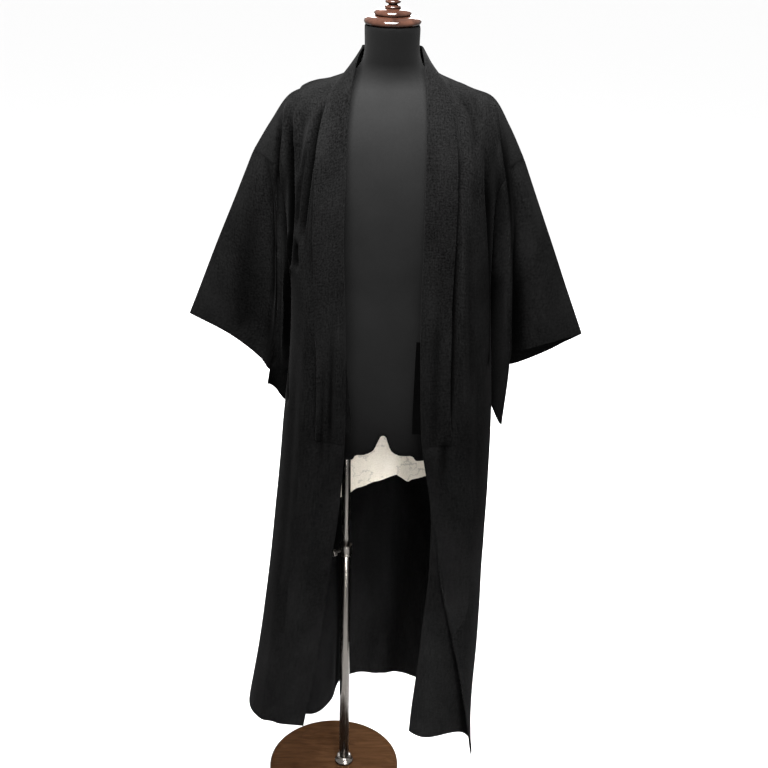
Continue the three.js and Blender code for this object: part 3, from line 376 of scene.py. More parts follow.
RIGHT_TABLE = SideTable(
    shoulder=((52, 2, 1654), (75, 0, 1611), (83, 0, 1606), (106, 0, 1597), (148, 0, 1580), (187, 0, 1563),
              (222, 0, 1514), (256, 0, 1456)),
    armhole=((236, -24, 24, 1452), (216, -44, 42, 1436), (199, -36, 34, 1385), (191, -29, 32, 1312),
             (189, -25, 28, 1240)),
    front=(
        FrontRow(1436, (79, -120), 2.5, 66),
        FrontRow(1320, (82, -122), 2.5, 74),
        FrontRow(1180, (78, -121), 2.6, 84, (186, -4)),
        FrontRow(1040, (76, -122), 2.6, 90, (192, -6)),
        FrontRow(905, (77, -124), 2.6, 92, (206, -3)),
        FrontRow(760, (87, -125), 2.6, 90, (219, 6)),
        FrontRow(600, (107, -123), 2.6, 86, (236, 8)),
        FrontRow(400, (131, -117), 2.6, 80, (259, 6)),
        FrontRow(206, (163, -111), 2.6, 78, (292, 0, 206)),
    ),
    back=(
        BackRow(1520, 98, (124, 98, 1478), (168, 76, 1420), (184, 50, 1368)),
        BackRow(1370, 112, (124, 103, 1345), (168, 76, 1312), (184, 50, 1278)),
        BackRow(1180, 116, (126, 106), (166, 78), (175, 42)),
        BackRow(1040, 120, (122, 110), (166, 84), (182, 42)),
        BackRow(905, 126, (98, 112), (154, 90), (199, 50)),
        BackRow(760, 133, (76, 106), (120, 74), (190, 52)),
        BackRow(600, 138, (76, 98), (104, 50), (178, 34)),
        BackRow(400, 143, (86, 90), (104, 20), (176, -2)),
        BackRow(158, 149, (92, 104, 168), (110, 4, 186), (152, -62, 199)),
    ),
    sleeve=(
        SleeveRow((214, -41, 1342), (215, -26, 1352), (260, -30, 1368), (289, 0, 1375), 0.85),
        SleeveRow((210, -48, 1245), (218, -22, 1250), (280, -32, 1275), (326, 0, 1286), 0.85),
        SleeveRow((212, -44, 1180), (221, -20, 1182), (294, -34, 1206), (354, 0, 1217), 0.8, 1178),
        SleeveRow((230, -36, 1022), (248, -20, 1040), (305, -28, 1092), (390, 0, 1126), 0.8, 1062),
        SleeveRow((236, -22, 984), inner=944),
    ),
    back_drop=(0, 0, -4, -12, 0),
    inside=(1080, 929, 1, 13),
    creases=(
        Crease(((108, 1560), (140, 1365), (153, 1180)), -8, 16),
        Crease(((136, 1150), (136, 990), (137, 840)), -6, 16),
        # The narrow deep crease just outside the collar, with the thin rolls beside it.
        Crease(
            ((120, 1572), (133, 1525), (142, 1475), (149, 1426), (158, 1355), (163, 1293)),
            -14, 6, fade=(0.12, 0.2), dark=0.85,
        ),
        Crease(((130, 1560), (143, 1518), (152, 1460), (160, 1400), (167, 1330)), 5, 7, fade=(0.2, 0.25)),
        Crease(((150, 1505), (160, 1445), (168, 1385), (174, 1320)), -8, 6, fade=(0.3, 0.2), dark=0.6),
        Crease(((138, 1440), (145, 1400), (152, 1330), (156, 1260)), -5, 5, fade=(0.3, 0.3), dark=0.5),
        # The shoulder's soft drag lines.
        Crease(((150, 1568), (160, 1530), (166, 1480), (170, 1420)), -5, 9, dark=0.3),
        Crease(((168, 1560), (174, 1520), (177, 1470)), 4, 8),
        # The hollow between the body and the strip beside it, the strip's ridge, and the hollow beyond.
        Crease(
            ((186, 1550), (185, 1500), (183, 1440), (182, 1380),
             (185, 1310), (191, 1220), (195, 1100), (199, 975)),
            -12, 8, on=SEWN_SLEEVE, fade=(0.12, 0), dark=0.95,
        ),
        Crease(
            ((187, 1562), (196, 1532), (200, 1472), (204, 1362), (208, 1300), (210, 1130), (211, 1000)),
            5, 8, on=SEWN_SLEEVE, fade=(0.05, 0.1),
        ),
        Crease(
            ((194, 1560), (203, 1532), (207, 1472), (211, 1362), (215, 1290), (218, 1134), (221, 1040)),
            -10, 6, on=SEWN_SLEEVE, fade=(0.15, 0), dark=0.9,
        ),
        Crease(
            ((222, 1180), (228, 1100), (230, 1040), (226, 975)),
            -3, 12, on=SLEEVE, fade=(0.4, 0), dark=0.8,
        ),
        # The underarm's rolled edge, and the hollow inside it, darkened with painted shade.
        Crease(((178, 1330), (186, 1305), (190, 1278), (186, 1252), (177, 1240)), 5, 6, on=BODY),
        Crease(((172, 1312), (174, 1285), (171, 1250)), -8, 7, dark=0.8),
        # The armhole's seam where it comes out from under the sleeve's ridge.
        Crease(((212, 1437), (232, 1448), (256, 1458)), -1.5, 3.5, on=SEWN_SLEEVE, fade=(0.1, 0), dark=0.5),
        # The back's cloth stands up behind the shoulder.
        Crease(
            ((88, 1584), (112, 1577), (138, 1569), (160, 1559), (186, 1544)),
            15, 20, Face.BACK, fade=(0.6, 0.3), dark=0.5,
        ),
        # Folds of the front below the underarm.
        Crease(((150, 1230), (152, 1100), (158, 960), (168, 820)), 4, 12),
        Crease(
            ((98, 1210), (103, 1080), (106, 960), (108, 840)),
            -7, 7, on=WHOLE_FRONT, fade=(0.6, 0.3), dark=0.75,
        ),
        Crease(
            ((114, 1140), (120, 1020), (124, 900), (126, 800)),
            -7, 6, on=WHOLE_FRONT, fade=(0.6, 0.4), dark=0.6,
        ),
        Crease(((91, 1180), (93, 1080), (90, 980), (92, 890)), 5, 7, on=COLLAR),
        Crease(((176, 1120), (182, 980), (192, 820), (206, 640), (226, 430)), -4.5, 13, dark=0.2),
        Crease(((130, 860), (150, 680), (176, 480), (204, 240)), 4, 15, fade=TO_HEM),
        Crease(((158, 760), (186, 560), (218, 340), (236, 206)), -4, 13, fade=TO_HEM),
        Crease(((200, 660), (226, 460), (254, 215)), 3.5, 14, fade=(0.4, 0)),
        # Hidden back.
        Crease(((44, 1500), (48, 1340), (46, 1180), (42, 1060)), -4, 15, Face.BACK),
        Crease(((96, 1480), (100, 1330), (98, 1190), (88, 1040)), 4, 13, Face.BACK),
        Crease(
            ((74, 1150), (66, 960), (54, 760), (52, 540), (56, 330), (60, 175)),
            -5, 14, Face.BACK, fade=TO_HEM,
        ),
        Crease(((26, 1040), (24, 840), (28, 600), (26, 370), (30, 170)), 3, 12, Face.BACK, fade=TO_HEM),
        Crease(((148, 1350), (152, 1190), (150, 1040), (140, 880)), -5, 11, Face.BACK),
        # Sleeve, in front: the narrow hollow outside the strip, and the broad soft hollow of the panel.
        Crease(
            ((244, 1420), (262, 1330), (272, 1230), (280, 1150), (286, 1080)),
            -4, 26, on=SLEEVE, fade=(0.4, 0.15), dark=0.62,
        ),
        Crease(((240, 1400), (252, 1290), (256, 1180), (262, 1080)), 3, 11, on=SLEEVE, fade=TO_HEM),
        Crease(((322, 1260), (340, 1190), (352, 1140)), 2, 12, on=SLEEVE, fade=(0.4, 0)),
        # Sleeve, behind.
        Crease(((238, 1430), (256, 1330), (276, 1210), (290, 1100)), -5, 13, Face.BACK, SLEEVE, TO_HEM),
        Crease(((256, 1400), (296, 1290), (336, 1180), (356, 1130)), 3, 14, Face.BACK, SLEEVE, TO_HEM),
        Crease(((222, 1300), (230, 1180), (236, 1040)), 4, 12, Face.BACK, SLEEVE),
    ),
)

FOLD_ROWS = (
    FoldRow(760, (97, -129), (97, -129), (216, -129)),
    FoldRow(680, (98, -125), (108, -141), (219, -136)),
    FoldRow(600, (98, -121), (121, -148), (223, -139)),
    FoldRow(533, (94, -117), (134, -152), (224, -139)),
    FoldRow(467, (89, -113), (148, -155), (224, -136)),
    FoldRow(400, (85, -110), (163, -157), (222, -130)),
    FoldRow(331, (79, -106), (178, -159), (217, -122)),
    FoldRow(263, (73, -103), (192, -160), (212, -110)),
    FoldRow(194, (68, -102), (204, -160), (208, -96)),
)
FOLD_VALLEY = 58.0  # how deep the cloth goes in under the ridge at the hem
FOLD_SKEW = 2.6  # how near the ridge the deepest part lies
FOLD_HEM_DROP = 26.0
FOLD_HEM_WAVE = 7.0
FOLD_WAVE_START = 0.38
FOLD_WAVE_LENGTH = 0.9
FOLD_EASE = 10  # fine rows over which the fold starts
# Painted shade inside the left front's fold: how dark it is, where it lies across the fold, and how wide it
# is.
FOLD_PAINTED_SHADE = 0.95
FOLD_PAINTED_SHADE_PLACE = 0.84
FOLD_PAINTED_SHADE_WIDTH = 0.12


# ------------------------ helpers


def mix(a: float | np.ndarray, b: float | np.ndarray, t: float | np.ndarray) -> float | np.ndarray:
    """Goes from a to b as t goes from 0 to 1."""
    return a + (b - a) * t


def row_start(k: int) -> int:
    """The fine row at which control row k lies."""
    return sum(ROW_CELLS[:k]) * FINE


def column_start(name: str) -> int:
    """The fine column at which a named control column lies."""
    return sum(COLUMN_CELLS[: COLUMNS.index(name)]) * FINE


COLLAR_COLUMN = column_start("collar")
OVERLAP_COLUMN = column_start("overlap")
ARMHOLE_COLUMN = column_start("armhole")
HEM_ROW = row_start(len(ROW_CELLS))


def at_height(point: Point, height: float) -> Point:
    """A point at its own height, or at the given one where it has none."""
    return (*point, height) if len(point) == 2 else point


def spline(points: np.ndarray, cells: tuple[int, ...] | list[int]) -> np.ndarray:
    """Points on a centripetal Catmull-Rom curve.

    Args:
        points: The control points, one in each row.
        cells: How many steps lie between each control point and the next.

    Returns:
        The points of the curve, from the first control point to the last.
    """
    ends = np.vstack([2 * points[0] - points[1], points, 2 * points[-1] - points[-2]])
    out = []
    for k, steps in enumerate(cells):
        p0, p1, p2, p3 = ends[k : k + 4]
        d0, d1, d2 = (np.linalg.norm(b - a) ** 0.5 for a, b in ((p0, p1), (p1, p2), (p2, p3)))
        d1 = d1 if d1 > 1e-4 else 1.0
        d0 = d0 if d0 > 1e-4 else d1
        d2 = d2 if d2 > 1e-4 else d1
        m1 = ((p1 - p0) / d0 - (p2 - p0) / (d0 + d1) + (p2 - p1) / d1) * d1
        m2 = ((p2 - p1) / d1 - (p3 - p1) / (d1 + d2) + (p3 - p2) / d2) * d1
        t = (np.arange(steps) / steps)[:, None]
        out.append(p1 + m1 * t + (3 * (p2 - p1) - 2 * m1 - m2) * t**2 + (2 * (p1 - p2) + m1 + m2) * t**3)
    out.append(points[-1:])
    return np.vstack(out)


def refine_net(net: list[np.ndarray], row_cells: list[int], column_cells: list[int]) -> Grid:
    """A fine grid through a net of control points, net[row][column]."""
    across = np.stack([spline(np.asarray(row, float), column_cells) for row in net])
    return np.stack([spline(across[:, j], row_cells) for j in range(across.shape[1])], axis=1)


def arc_lengths(points: np.ndarray, axis: int = 0) -> np.ndarray:
    """The running length along an axis of a line or grid of points."""
    steps = np.linalg.norm(np.diff(points, axis=axis), axis=-1)
    start = np.zeros_like(np.take(steps, [0], axis=axis))
    return np.concatenate([start, np.cumsum(steps, axis=axis)], axis=axis)


def fade_in(t: np.ndarray, share: float) -> np.ndarray:
    """Rises smoothly from 0 to 1 over the first share of t, or is 1 where the share is 0."""
    if share <= 0:
        return np.ones_like(t)
    s = np.clip(t / share, 0, 1)
    return s * s * (3 - 2 * s)


def to_frame(points: np.ndarray, across: float = GARMENT_X) -> np.ndarray:
    """Millimetres from the form's middle to metres in the row frame."""
    return (points + np.array([across, 0, 0])) * MM


def new_object(
    name: str,
    points: np.ndarray,
    faces: list | np.ndarray,
    uv: np.ndarray | None = None,
    hollow: np.ndarray | None = None,
) -> bpy.types.Object:
    """A mesh object with smooth shading that stays sharp at its rims.

    Args:
        name: The piece's name.
        points: The vertices in metres.
        faces: The faces' vertex numbers.
        uv: A UV coordinate in metres for each vertex, where the weave follows the cloth.
        hollow: How much painted shade darkens each vertex's colour in the folds and creases, from 0 to 1.

    Returns:
        The new object, linked to the scene.
    """
    mesh = bpy.data.meshes.new(name)
    mesh.from_pydata(points.tolist(), [], [list(map(int, face)) for face in faces])
    if uv is not None:
        layer = mesh.uv_layers.new(name="cloth")
        corners = np.empty(len(mesh.loops), dtype=np.int32)
        mesh.loops.foreach_get("vertex_index", corners)
        layer.data.foreach_set("uv", uv[corners].astype(np.float32).ravel())
    # The painted shade that darkens the cloth's colour in its folds and creases is kept as a point
    # attribute.
    if hollow is not None:
        tone = mesh.attributes.new("hollow", "FLOAT", "POINT")
        tone.data.foreach_set("value", hollow.astype(np.float32))
    mesh.validate()
    mesh.shade_smooth()
    mesh.set_sharp_from_angle(angle=SMOOTH_ANGLE)
    obj = bpy.data.objects.new(name, mesh)
    bpy.context.scene.collection.objects.link(obj)
    return obj


def dress(obj: bpy.types.Object, material: bpy.types.Material, slot: Slot, *nodes: str) -> None:
    """Gives a piece its material and its body, and lets it stand for CAD nodes."""
    obj.data.materials.clear()
    obj.data.materials.append(material)
    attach(obj, "root")
    if nodes:
        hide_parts(*nodes)
    log.info("%s: %d faces", obj.name, len(obj.data.polygons))


# ------------------------ finishes


class ShaderTree:
    """A material with a Principled shader, and short calls to add nodes to it."""

    def __init__(self, name: str) -> None:
        """Starts the material."""
        self.material = bpy.data.materials.new(name)
        self.material.use_nodes = True
        self.tree = self.material.node_tree
        self.shader = self.tree.nodes["Principled BSDF"]

    def add(self, kind: str, settings: dict | None = None, **inputs: object) -> bpy.types.Node:
        """Adds a node.

        Args:
            kind: The node's type.
            settings: Its own settings.
            **inputs: Its sockets, by name with underscores for spaces; a socket links and a value is set.

        Returns:
            The node.
        """
        node = self.tree.nodes.new(kind)
        for name, value in (settings or {}).items():
            setattr(node, name, value)
        for name, value in inputs.items():
            key = int(name[2:]) if name.startswith("in") and name[2:].isdigit() else name.replace("_", " ")
            self.put(node.inputs[key], value)
        return node

    def put(self, socket: Socket, value: object) -> None:
        """Links a socket to another, or sets its value."""
        if isinstance(value, Socket):
            self.tree.links.new(value, socket)
        else:
            socket.default_value = value

    def math(self, operation: str, a: object, b: object = 0.0) -> Socket:
        """The result of a Math node."""
        return self.add("ShaderNodeMath", {"operation": operation}, in0=a, in1=b).outputs[0]

    def blend(self, a: object, share: float, b: object, other: float) -> Socket:
        """The sum of two factors, each times its share."""
        return self.math("ADD", self.math("MULTIPLY", a, share), self.math("MULTIPLY", b, other))

    def waves(self, along: object, turns: float) -> Socket:
        """A sine along one axis."""
        return self.math("SINE", self.math("MULTIPLY", along, turns))

    def ramp(self, factor: object, low: Point, high: Point, start: float, end: float) -> Socket:
        """A two-colour ramp between two factors."""
        node = self.add("ShaderNodeValToRGB", in0=factor)
        first, last = node.color_ramp.elements
        first.position, last.position = start, end
        first.color, last.color = (*low, 1), (*high, 1)
        return node.outputs["Color"]

    def scaled(self, colour: object, factor: object) -> Socket:
        """A colour made darker or lighter by a factor."""
        return self.add("ShaderNodeVectorMath", {"operation": "SCALE"}, in0=colour, Scale=factor).outputs[0]

    def span(self, factor: object, low: float, high: float, start: float = 0.0, end: float = 1.0) -> Socket:
        """A factor between start and end brought to the span from low to high."""
        limits = {"From_Min": start, "From_Max": end, "To_Min": low, "To_Max": high}
        return self.add("ShaderNodeMapRange", Value=factor, **limits).outputs["Result"]

    def noise(self, vector: object, scale: float, detail: float = 3.0, roughness: float = 0.55) -> Socket:
        """A noise factor at the given scale."""
        node = self.add("ShaderNodeTexNoise", Vector=vector, Scale=scale, Detail=detail, Roughness=roughness)
        return node.outputs[0]

    def place(self) -> Socket:
        """The object's own coordinates."""
        return self.add("ShaderNodeTexCoord").outputs["Object"]

    def axes(self, vector: object) -> bpy.types.NodeOutputs:
        """The three parts of a coordinate."""
        return self.add("ShaderNodeSeparateXYZ", in0=vector).outputs

    def stretched(self, vector: object, scale: Point) -> Socket:
        """A coordinate scaled along each axis."""
        return self.add("ShaderNodeMapping", Vector=vector, Scale=scale).outputs[0]

    def bump(self, height: object, strength: float, distance: float) -> Socket:
        """A bumped normal."""
        node = self.add("ShaderNodeBump", Height=height, Strength=strength, Distance=distance)
        return node.outputs["Normal"]

    def finish(self, **inputs: object) -> bpy.types.Material:
        """Sets the shader's sockets, by name with underscores for spaces, and returns the material."""
        for name, value in inputs.items():
            self.put(self.shader.inputs[name.replace("_", " ")], value)
        return self.material


@dataclass(frozen=True)
class WovenFinish:
    """A plain-woven cotton with slubs along the warp and a soft sheen."""

    name: str
    dark: Point
    light: Point
    sheen: float
    sheen_tint: Point
    pitch: float = 0.0011
    roughness: float = 0.86
    # How much the painted shade in the folds and creases darkens the colour.
    painted_shade_strength: float = 0.96
    # How dark the painted shade along fine wrinkles is, from 0 for none.
    wrinkle_painted_shade: float = 0.0

    def threads(self, tree: ShaderTree, uv: Socket) -> Socket:
        """The uneven threads of warp and weft, with their flecks."""
        slub = tree.noise(tree.stretched(uv, (900, 34, 1)), 1.0, 3.0, 0.6)
        weft_slub = tree.noise(tree.stretched(uv, (26, 620, 1)), 1.0, 2.0, 0.5)
        fleck = tree.noise(uv, 270.0, 3.0, 0.7)
        return tree.blend(tree.blend(slub, 0.65, weft_slub, 0.35), 0.45, fleck, 0.55)

    def painted_shade_factor(self, tree: ShaderTree, uv: Socket) -> Socket:
        """How much of the colour is left under the painted shade in the folds and creases, and along the
        wrinkles.
        """
        hollow = tree.add("ShaderNodeAttribute", {"attribute_name": "hollow"}).outputs["Fac"]
        unshaded_share = tree.math("SUBTRACT", 1.0, tree.math("MULTIPLY", hollow, self.painted_shade_strength))
        if not self.wrinkle_painted_shade:
            return unshaded_share
        # Thin dark lines along a noise pattern are painted shade for fine wrinkles.
        wrinkle_shade_noise = tree.noise(tree.stretched(uv, (11, 17, 1)), 1.0, 5.0, 0.6)
        line = tree.math("ABSOLUTE", tree.math("SUBTRACT", wrinkle_shade_noise, 0.5))
        return tree.math("MULTIPLY", unshaded_share, tree.span(line, 1.0 - self.wrinkle_painted_shade, 1.0, 0.0, 0.02))

    def build(self) -> bpy.types.Material:
        """Makes the material from the piece's own UV map, which is in metres."""
        tree = ShaderTree(self.name)
        uv = tree.add("ShaderNodeUVMap", {"uv_map": "cloth"}).outputs[0]
        axes = tree.axes(uv)
        turns = 2 * math.pi / self.pitch
        weave = tree.math("MULTIPLY", tree.waves(axes[0], turns), tree.waves(axes[1], turns))
        cloud = tree.noise(tree.stretched(uv, (9, 5, 1)), 1.0, 2.0)
        threads = self.threads(tree, uv)
        even = tree.ramp(tree.blend(threads, 0.8, cloud, 0.2), self.dark, self.light, 0.41, 0.59)
        return tree.finish(
            Base_Color=tree.scaled(even, self.painted_shade_factor(tree, uv)),
            Roughness=tree.span(cloud, self.roughness - 0.06, self.roughness + 0.06),
            Normal=tree.bump(tree.math("ADD", tree.math("MULTIPLY", weave, 0.25), threads), 0.35, 0.0004),
            Sheen_Weight=self.sheen,
            Sheen_Roughness=0.45,
            Sheen_Tint=(*self.sheen_tint, 1),
            Specular_IOR_Level=0.0,
        )


@dataclass(frozen=True)
class JerseyFinish:
    """The fine knit that covers the form, darkened with painted shade on the neck under the cap and towards
    the seat.
    """

    name: str = "charcoal_jersey"
    dark: Point = (0.0034, 0.0034, 0.0034)
    light: Point = (0.0062, 0.0062, 0.0062)
    wale: float = 0.0013
    # Heights in metres over which painted shade darkens the neck upwards, and how much colour is left at the
    # top.
    neck: Point = (1.585, 1.63)
    neck_painted_shade: float = 0.3
    # Heights in metres over which painted shade darkens the form towards the seat, and how much is left at
    # the lower one.
    seat: Point = (0.86, 1.2)
    seat_painted_shade: float = 0.4

    def build(self) -> bpy.types.Material:
        """Makes the material from object coordinates, with the knit's wales upright."""
        tree = ShaderTree(self.name)
        place = tree.place()
        axes = tree.axes(place)
        turns = 2 * math.pi / self.wale
        fuzz = tree.noise(place, 900, 2.0)
        cloud = tree.noise(place, 6, 2.0)
        even = tree.ramp(tree.blend(fuzz, 0.6, cloud, 0.4), self.dark, self.light, 0.35, 0.65)
        # Painted shade: the neck is darker towards the cap and the form darker towards the seat.
        neck = tree.span(axes[2], 1.0, self.neck_painted_shade, *self.neck)
        seat = tree.span(axes[2], self.seat_painted_shade, 1.0, *self.seat)
        knit = tree.blend(tree.waves(axes[0], turns), 0.5, tree.waves(axes[2], turns * 0.8), 0.35)
        return tree.finish(
            Base_Color=tree.scaled(even, tree.math("MULTIPLY", neck, seat)),
            Roughness=0.9,
            Normal=tree.bump(tree.math("ADD", knit, fuzz), 0.22, 0.0004),
            Sheen_Weight=0.015,
            Sheen_Roughness=0.5,
            Sheen_Tint=(0.8, 0.8, 0.8, 1),
            Specular_IOR_Level=0.0,
        )


@dataclass(frozen=True)
class WoodFinish:
    """Stained wood with a long grain under varnish."""

    name: str
    dark: Point
    light: Point
    roughness: float
    coat: float
    coat_roughness: float
    grain: Point = (14, 120, 120)

    def build(self) -> bpy.types.Material:
        """Makes the material from object coordinates, with the grain along the smallest scale's axis."""
        tree = ShaderTree(self.name)
        place = tree.place()
        wander = tree.math("MULTIPLY", tree.noise(tree.stretched(place, (6, 16, 16)), 1.0, 2.0), 5.0)
        long = tree.stretched(place, self.grain)
        moved = tree.add("ShaderNodeVectorMath", {"operation": "ADD"}, in0=long, in1=wander).outputs[0]
        grain = tree.noise(moved, 1.0, 6.0, 0.62)
        pores = tree.noise(tree.stretched(place, (90, 1500, 1500)), 1.0, 2.0)
        tone = tree.blend(grain, 0.8, pores, 0.2)
        return tree.finish(
            Base_Color=tree.ramp(tone, self.dark, self.light, 0.36, 0.68),
            Roughness=tree.span(grain, self.roughness - 0.05, self.roughness + 0.08),
            Normal=tree.bump(tone, 0.12, 0.0006),
            Coat_Weight=self.coat,
            Coat_Roughness=self.coat_roughness,
            Specular_IOR_Level=0.0,
        )


@dataclass(frozen=True)
class ChromeFinish:
    """Plated steel with faint rubbed lines along the pole."""

    name: str = "satin_chrome"
    colour: Point = (0.092, 0.085, 0.078)
    roughness: float = 0.24

    def build(self) -> bpy.types.Material:
        """Makes the material from object coordinates."""
        tree = ShaderTree(self.name)
        place = tree.place()
        lines = tree.noise(tree.stretched(place, (700, 700, 9)), 1.0, 3.0)
        smudge = tree.noise(place, 14, 3.0)
        rubbed = tree.math("MULTIPLY", lines, smudge)
        return tree.finish(
            Base_Color=tree.ramp(smudge, tuple(0.86 * c for c in self.colour), self.colour, 0.3, 0.7),
            Metallic=1.0,
            Roughness=tree.span(rubbed, self.roughness - 0.05, self.roughness + 0.22),
            Normal=tree.bump(lines, 0.06, 0.0002),
        )


@dataclass(frozen=True)
class PlainFinish:
    """The floor's even pale paint."""

    name: str = "pale_floor"
    colour: Point = (0.64, 0.64, 0.64)

    def build(self) -> bpy.types.Material:
        """Makes the material."""
        tree = ShaderTree(self.name)
        return tree.finish(Base_Color=(*self.colour, 1), Roughness=0.9, Specular_IOR_Level=0.1)


# ------------------------ turned pieces


@dataclass
class Turned:
    """A piece turned round an upright axis from a profile of (radius, height)."""

    profile: tuple[Point, ...]
    base: float = 0.0
    across: float = 0.0
    segments: int = 72

    def rows(self) -> tuple[list[Point], list[list[int]]]:
        """The piece's points, and the numbers of those that each point of the profile makes."""
        angles = np.arange(self.segments) / self.segments * 2 * math.pi
        circle = [(math.cos(a), math.sin(a)) for a in angles]
        points: list[Point] = []
        rows: list[list[int]] = []
        for radius, height in np.asarray(self.profile, float):
            start = len(points)
            if radius == 0:
                points.append((0, 0, height + self.base))
                rows.append([start] * self.segments)
            else:
                points.extend((radius * x, radius * y, height + self.base) for x, y in circle)
                rows.append(list(range(start, start + self.segments)))
        return points, rows

    def build(self, name: str) -> bpy.types.Object:
        """Makes the piece, as a ring where the profile starts off the axis, and otherwise closed on it."""
        points, rows = self.rows()
        is_ring = self.profile[0][0] > 0
        faces = []
        for r in range(len(rows) if is_ring else len(rows) - 1):
            low, high = rows[r], rows[(r + 1) % len(rows)]
            for k in range(self.segments):
                nxt = (k + 1) % self.segments
                corners = [low[k], low[nxt], high[nxt], high[k]]
                face = [v for i, v in enumerate(corners) if v != corners[i - 1]]
                if len(face) > 2:
                    faces.append(face)
        return new_object(name, to_frame(np.asarray(points, float), self.across), faces)


# ------------------------ dress form


@dataclass
class DressForm:
    """The limbless torso with its two thigh ends, and its wooden neck cap."""

    rings: tuple[Point, ...] = (
        # height, half width, depth in front, depth behind, squareness
        (845, 150, 78, 84, 2.3),
        (849, 160, 88, 94, 2.3),
        (862, 168, 98, 103, 2.3),
        (900, 172, 103, 108, 2.3),
        (980, 170, 102, 106, 2.3),
        (1080, 156, 94, 94, 2.3),
        (1180, 147, 92, 88, 2.3),
        (1280, 156, 100, 94, 2.35),
        (1380, 170, 108, 99, 2.4),
        (1450, 180, 108, 98, 2.4),
        (1500, 184, 102, 94, 2.4),
        (1535, 184, 92, 88, 2.35),
        (1556, 173, 82, 82, 2.3),
        (1570, 156, 74, 76, 2.25),
        (1581, 134, 66, 70, 2.2),
        (1591, 106, 59, 64, 2.1),
        (1602, 80, 54, 57, 2),
        (1618, 60, 51.5, 53, 2),
        (1640, 51.5, 51, 51, 2),
        (1693, 51, 51, 51, 2),
    )
    notch: tuple[Point, ...] = (
        # The outline between the thigh ends: across and height.
        (-60, 800), (-58, 862), (-44, 866), (-31, 870), (-21, 878), (-13, 895), (-6, 911), (-1, 916),
        (4, 909), (10, 889), (17, 875), (28, 868), (44, 865), (60, 862), (62, 800),
    )
    cap: tuple[Point, ...] = (
        (0, 0), (46, 0), (50.4, 1.4), (52, 4.8), (51.4, 8),
        (48.6, 11), (43.4, 13.6), (38, 15.2), (30, 15.5), (0, 15.5),
    )
    disc: tuple[Point, ...] = (
        (0, 0), (31.4, 0), (33.6, 1.2), (34, 3.4), (33.2, 6),
        (30.6, 8.6), (25.6, 10.6), (18, 11.9), (12, 12), (0, 12),
    )
    finial: tuple[Point, ...] = (
        (0, 0), (14.6, 0), (15.5, 1.4), (15, 3.4), (11.5, 5),
        (8.6, 6.4), (8.8, 7.6), (13.2, 9.4), (14.2, 11.5), (13.2, 13.6),
        (8.9, 15.4), (8.8, 16.6), (12.4, 18.4), (13.2, 20.5), (12.4, 22.6),
        (8.4, 24.4), (8.4, 25.6), (11.6, 28), (14.2, 32.6), (14.3, 37),
        (12.8, 41.6), (8.6, 45.6), (4.4, 47.5), (0, 48),
    )
    disc_lift: float = 15.8
    finial_lift: float = 28.1
    sides: int = 128
    steps: int = 6
    voxel: float = 3.6 * MM
    notch_reach: float = 130
    clear_rounds: int = 8
    clear_step: float = 20

    def __post_init__(self) -> None:
        """Draws the smooth line of each measure through the rings."""
        table = np.asarray(self.rings, float)
        fine = spline(table, [self.steps] * (len(table) - 1))
        self.fine = fine[np.argsort(fine[:, 0])]

    def level(self, p: np.ndarray) -> np.ndarray:
        """How far points lie outside the form: 0 on it, above 0 outside."""
        half, front, back, full = (np.interp(p[:, 2], self.fine[:, 0], self.fine[:, c]) for c in range(1, 5))
        depth = np.where(p[:, 1] > 0, back, front)
        return (np.abs(p[:, 0] / half) ** full + np.abs(p[:, 1] / depth) ** full) ** (1 / full) - 1

    def clear(self, points: np.ndarray, distance: np.ndarray) -> np.ndarray:
        """Moves points straight out of the form until each is clear of it by its distance."""
        p = points.copy()
        low, high = self.fine[0, 0], self.fine[-1, 0]
        for _ in range(self.clear_rounds):
            value = self.level(p)
            slope = np.stack([self.level(p + step) - value for step in np.eye(3)], axis=1)
            steepness = np.linalg.norm(slope, axis=1) + 1e-12
            gap = value / steepness
            near = (gap < distance) & (p[:, 2] > low) & (p[:, 2] < high)
            push = np.where(near, np.minimum(distance - gap, self.clear_step), 0)
            p += slope / steepness[:, None] * push[:, None]
        return p

    def skin_points(self) -> np.ndarray:
        """The points of the torso's rings, and the middles of its two ends."""
        a = np.arange(self.sides) / self.sides * 2 * math.pi
        c, s = np.cos(a), np.sin(a)
        rings = []
        for z, half, front, back, full in self.fine:
            x = half * np.sign(c) * np.abs(c) ** (2 / full)
            y = np.where(s > 0, back, front) * np.sign(s) * np.abs(s) ** (2 / full)
            rings.append(np.stack([x, y, np.full_like(x, z)], axis=1))
        return np.vstack([*rings, [[0, 0, self.fine[0, 0]], [0, 0, self.fine[-1, 0]]]])

    def skin_faces(self) -> list[tuple[int, ...]]:
        """The faces between the torso's rings and over its two ends."""
        count = len(self.fine)
        top = (count - 1) * self.sides
        faces = []
        for k in range(self.sides):
            nxt = (k + 1) % self.sides
            for lower in range(0, top, self.sides):
                upper = lower + self.sides
                faces.append((lower + k, lower + nxt, upper + nxt, upper + k))
            faces.append((count * self.sides, nxt, k))
            faces.append((count * self.sides + 1, top + k, top + nxt))
        return faces

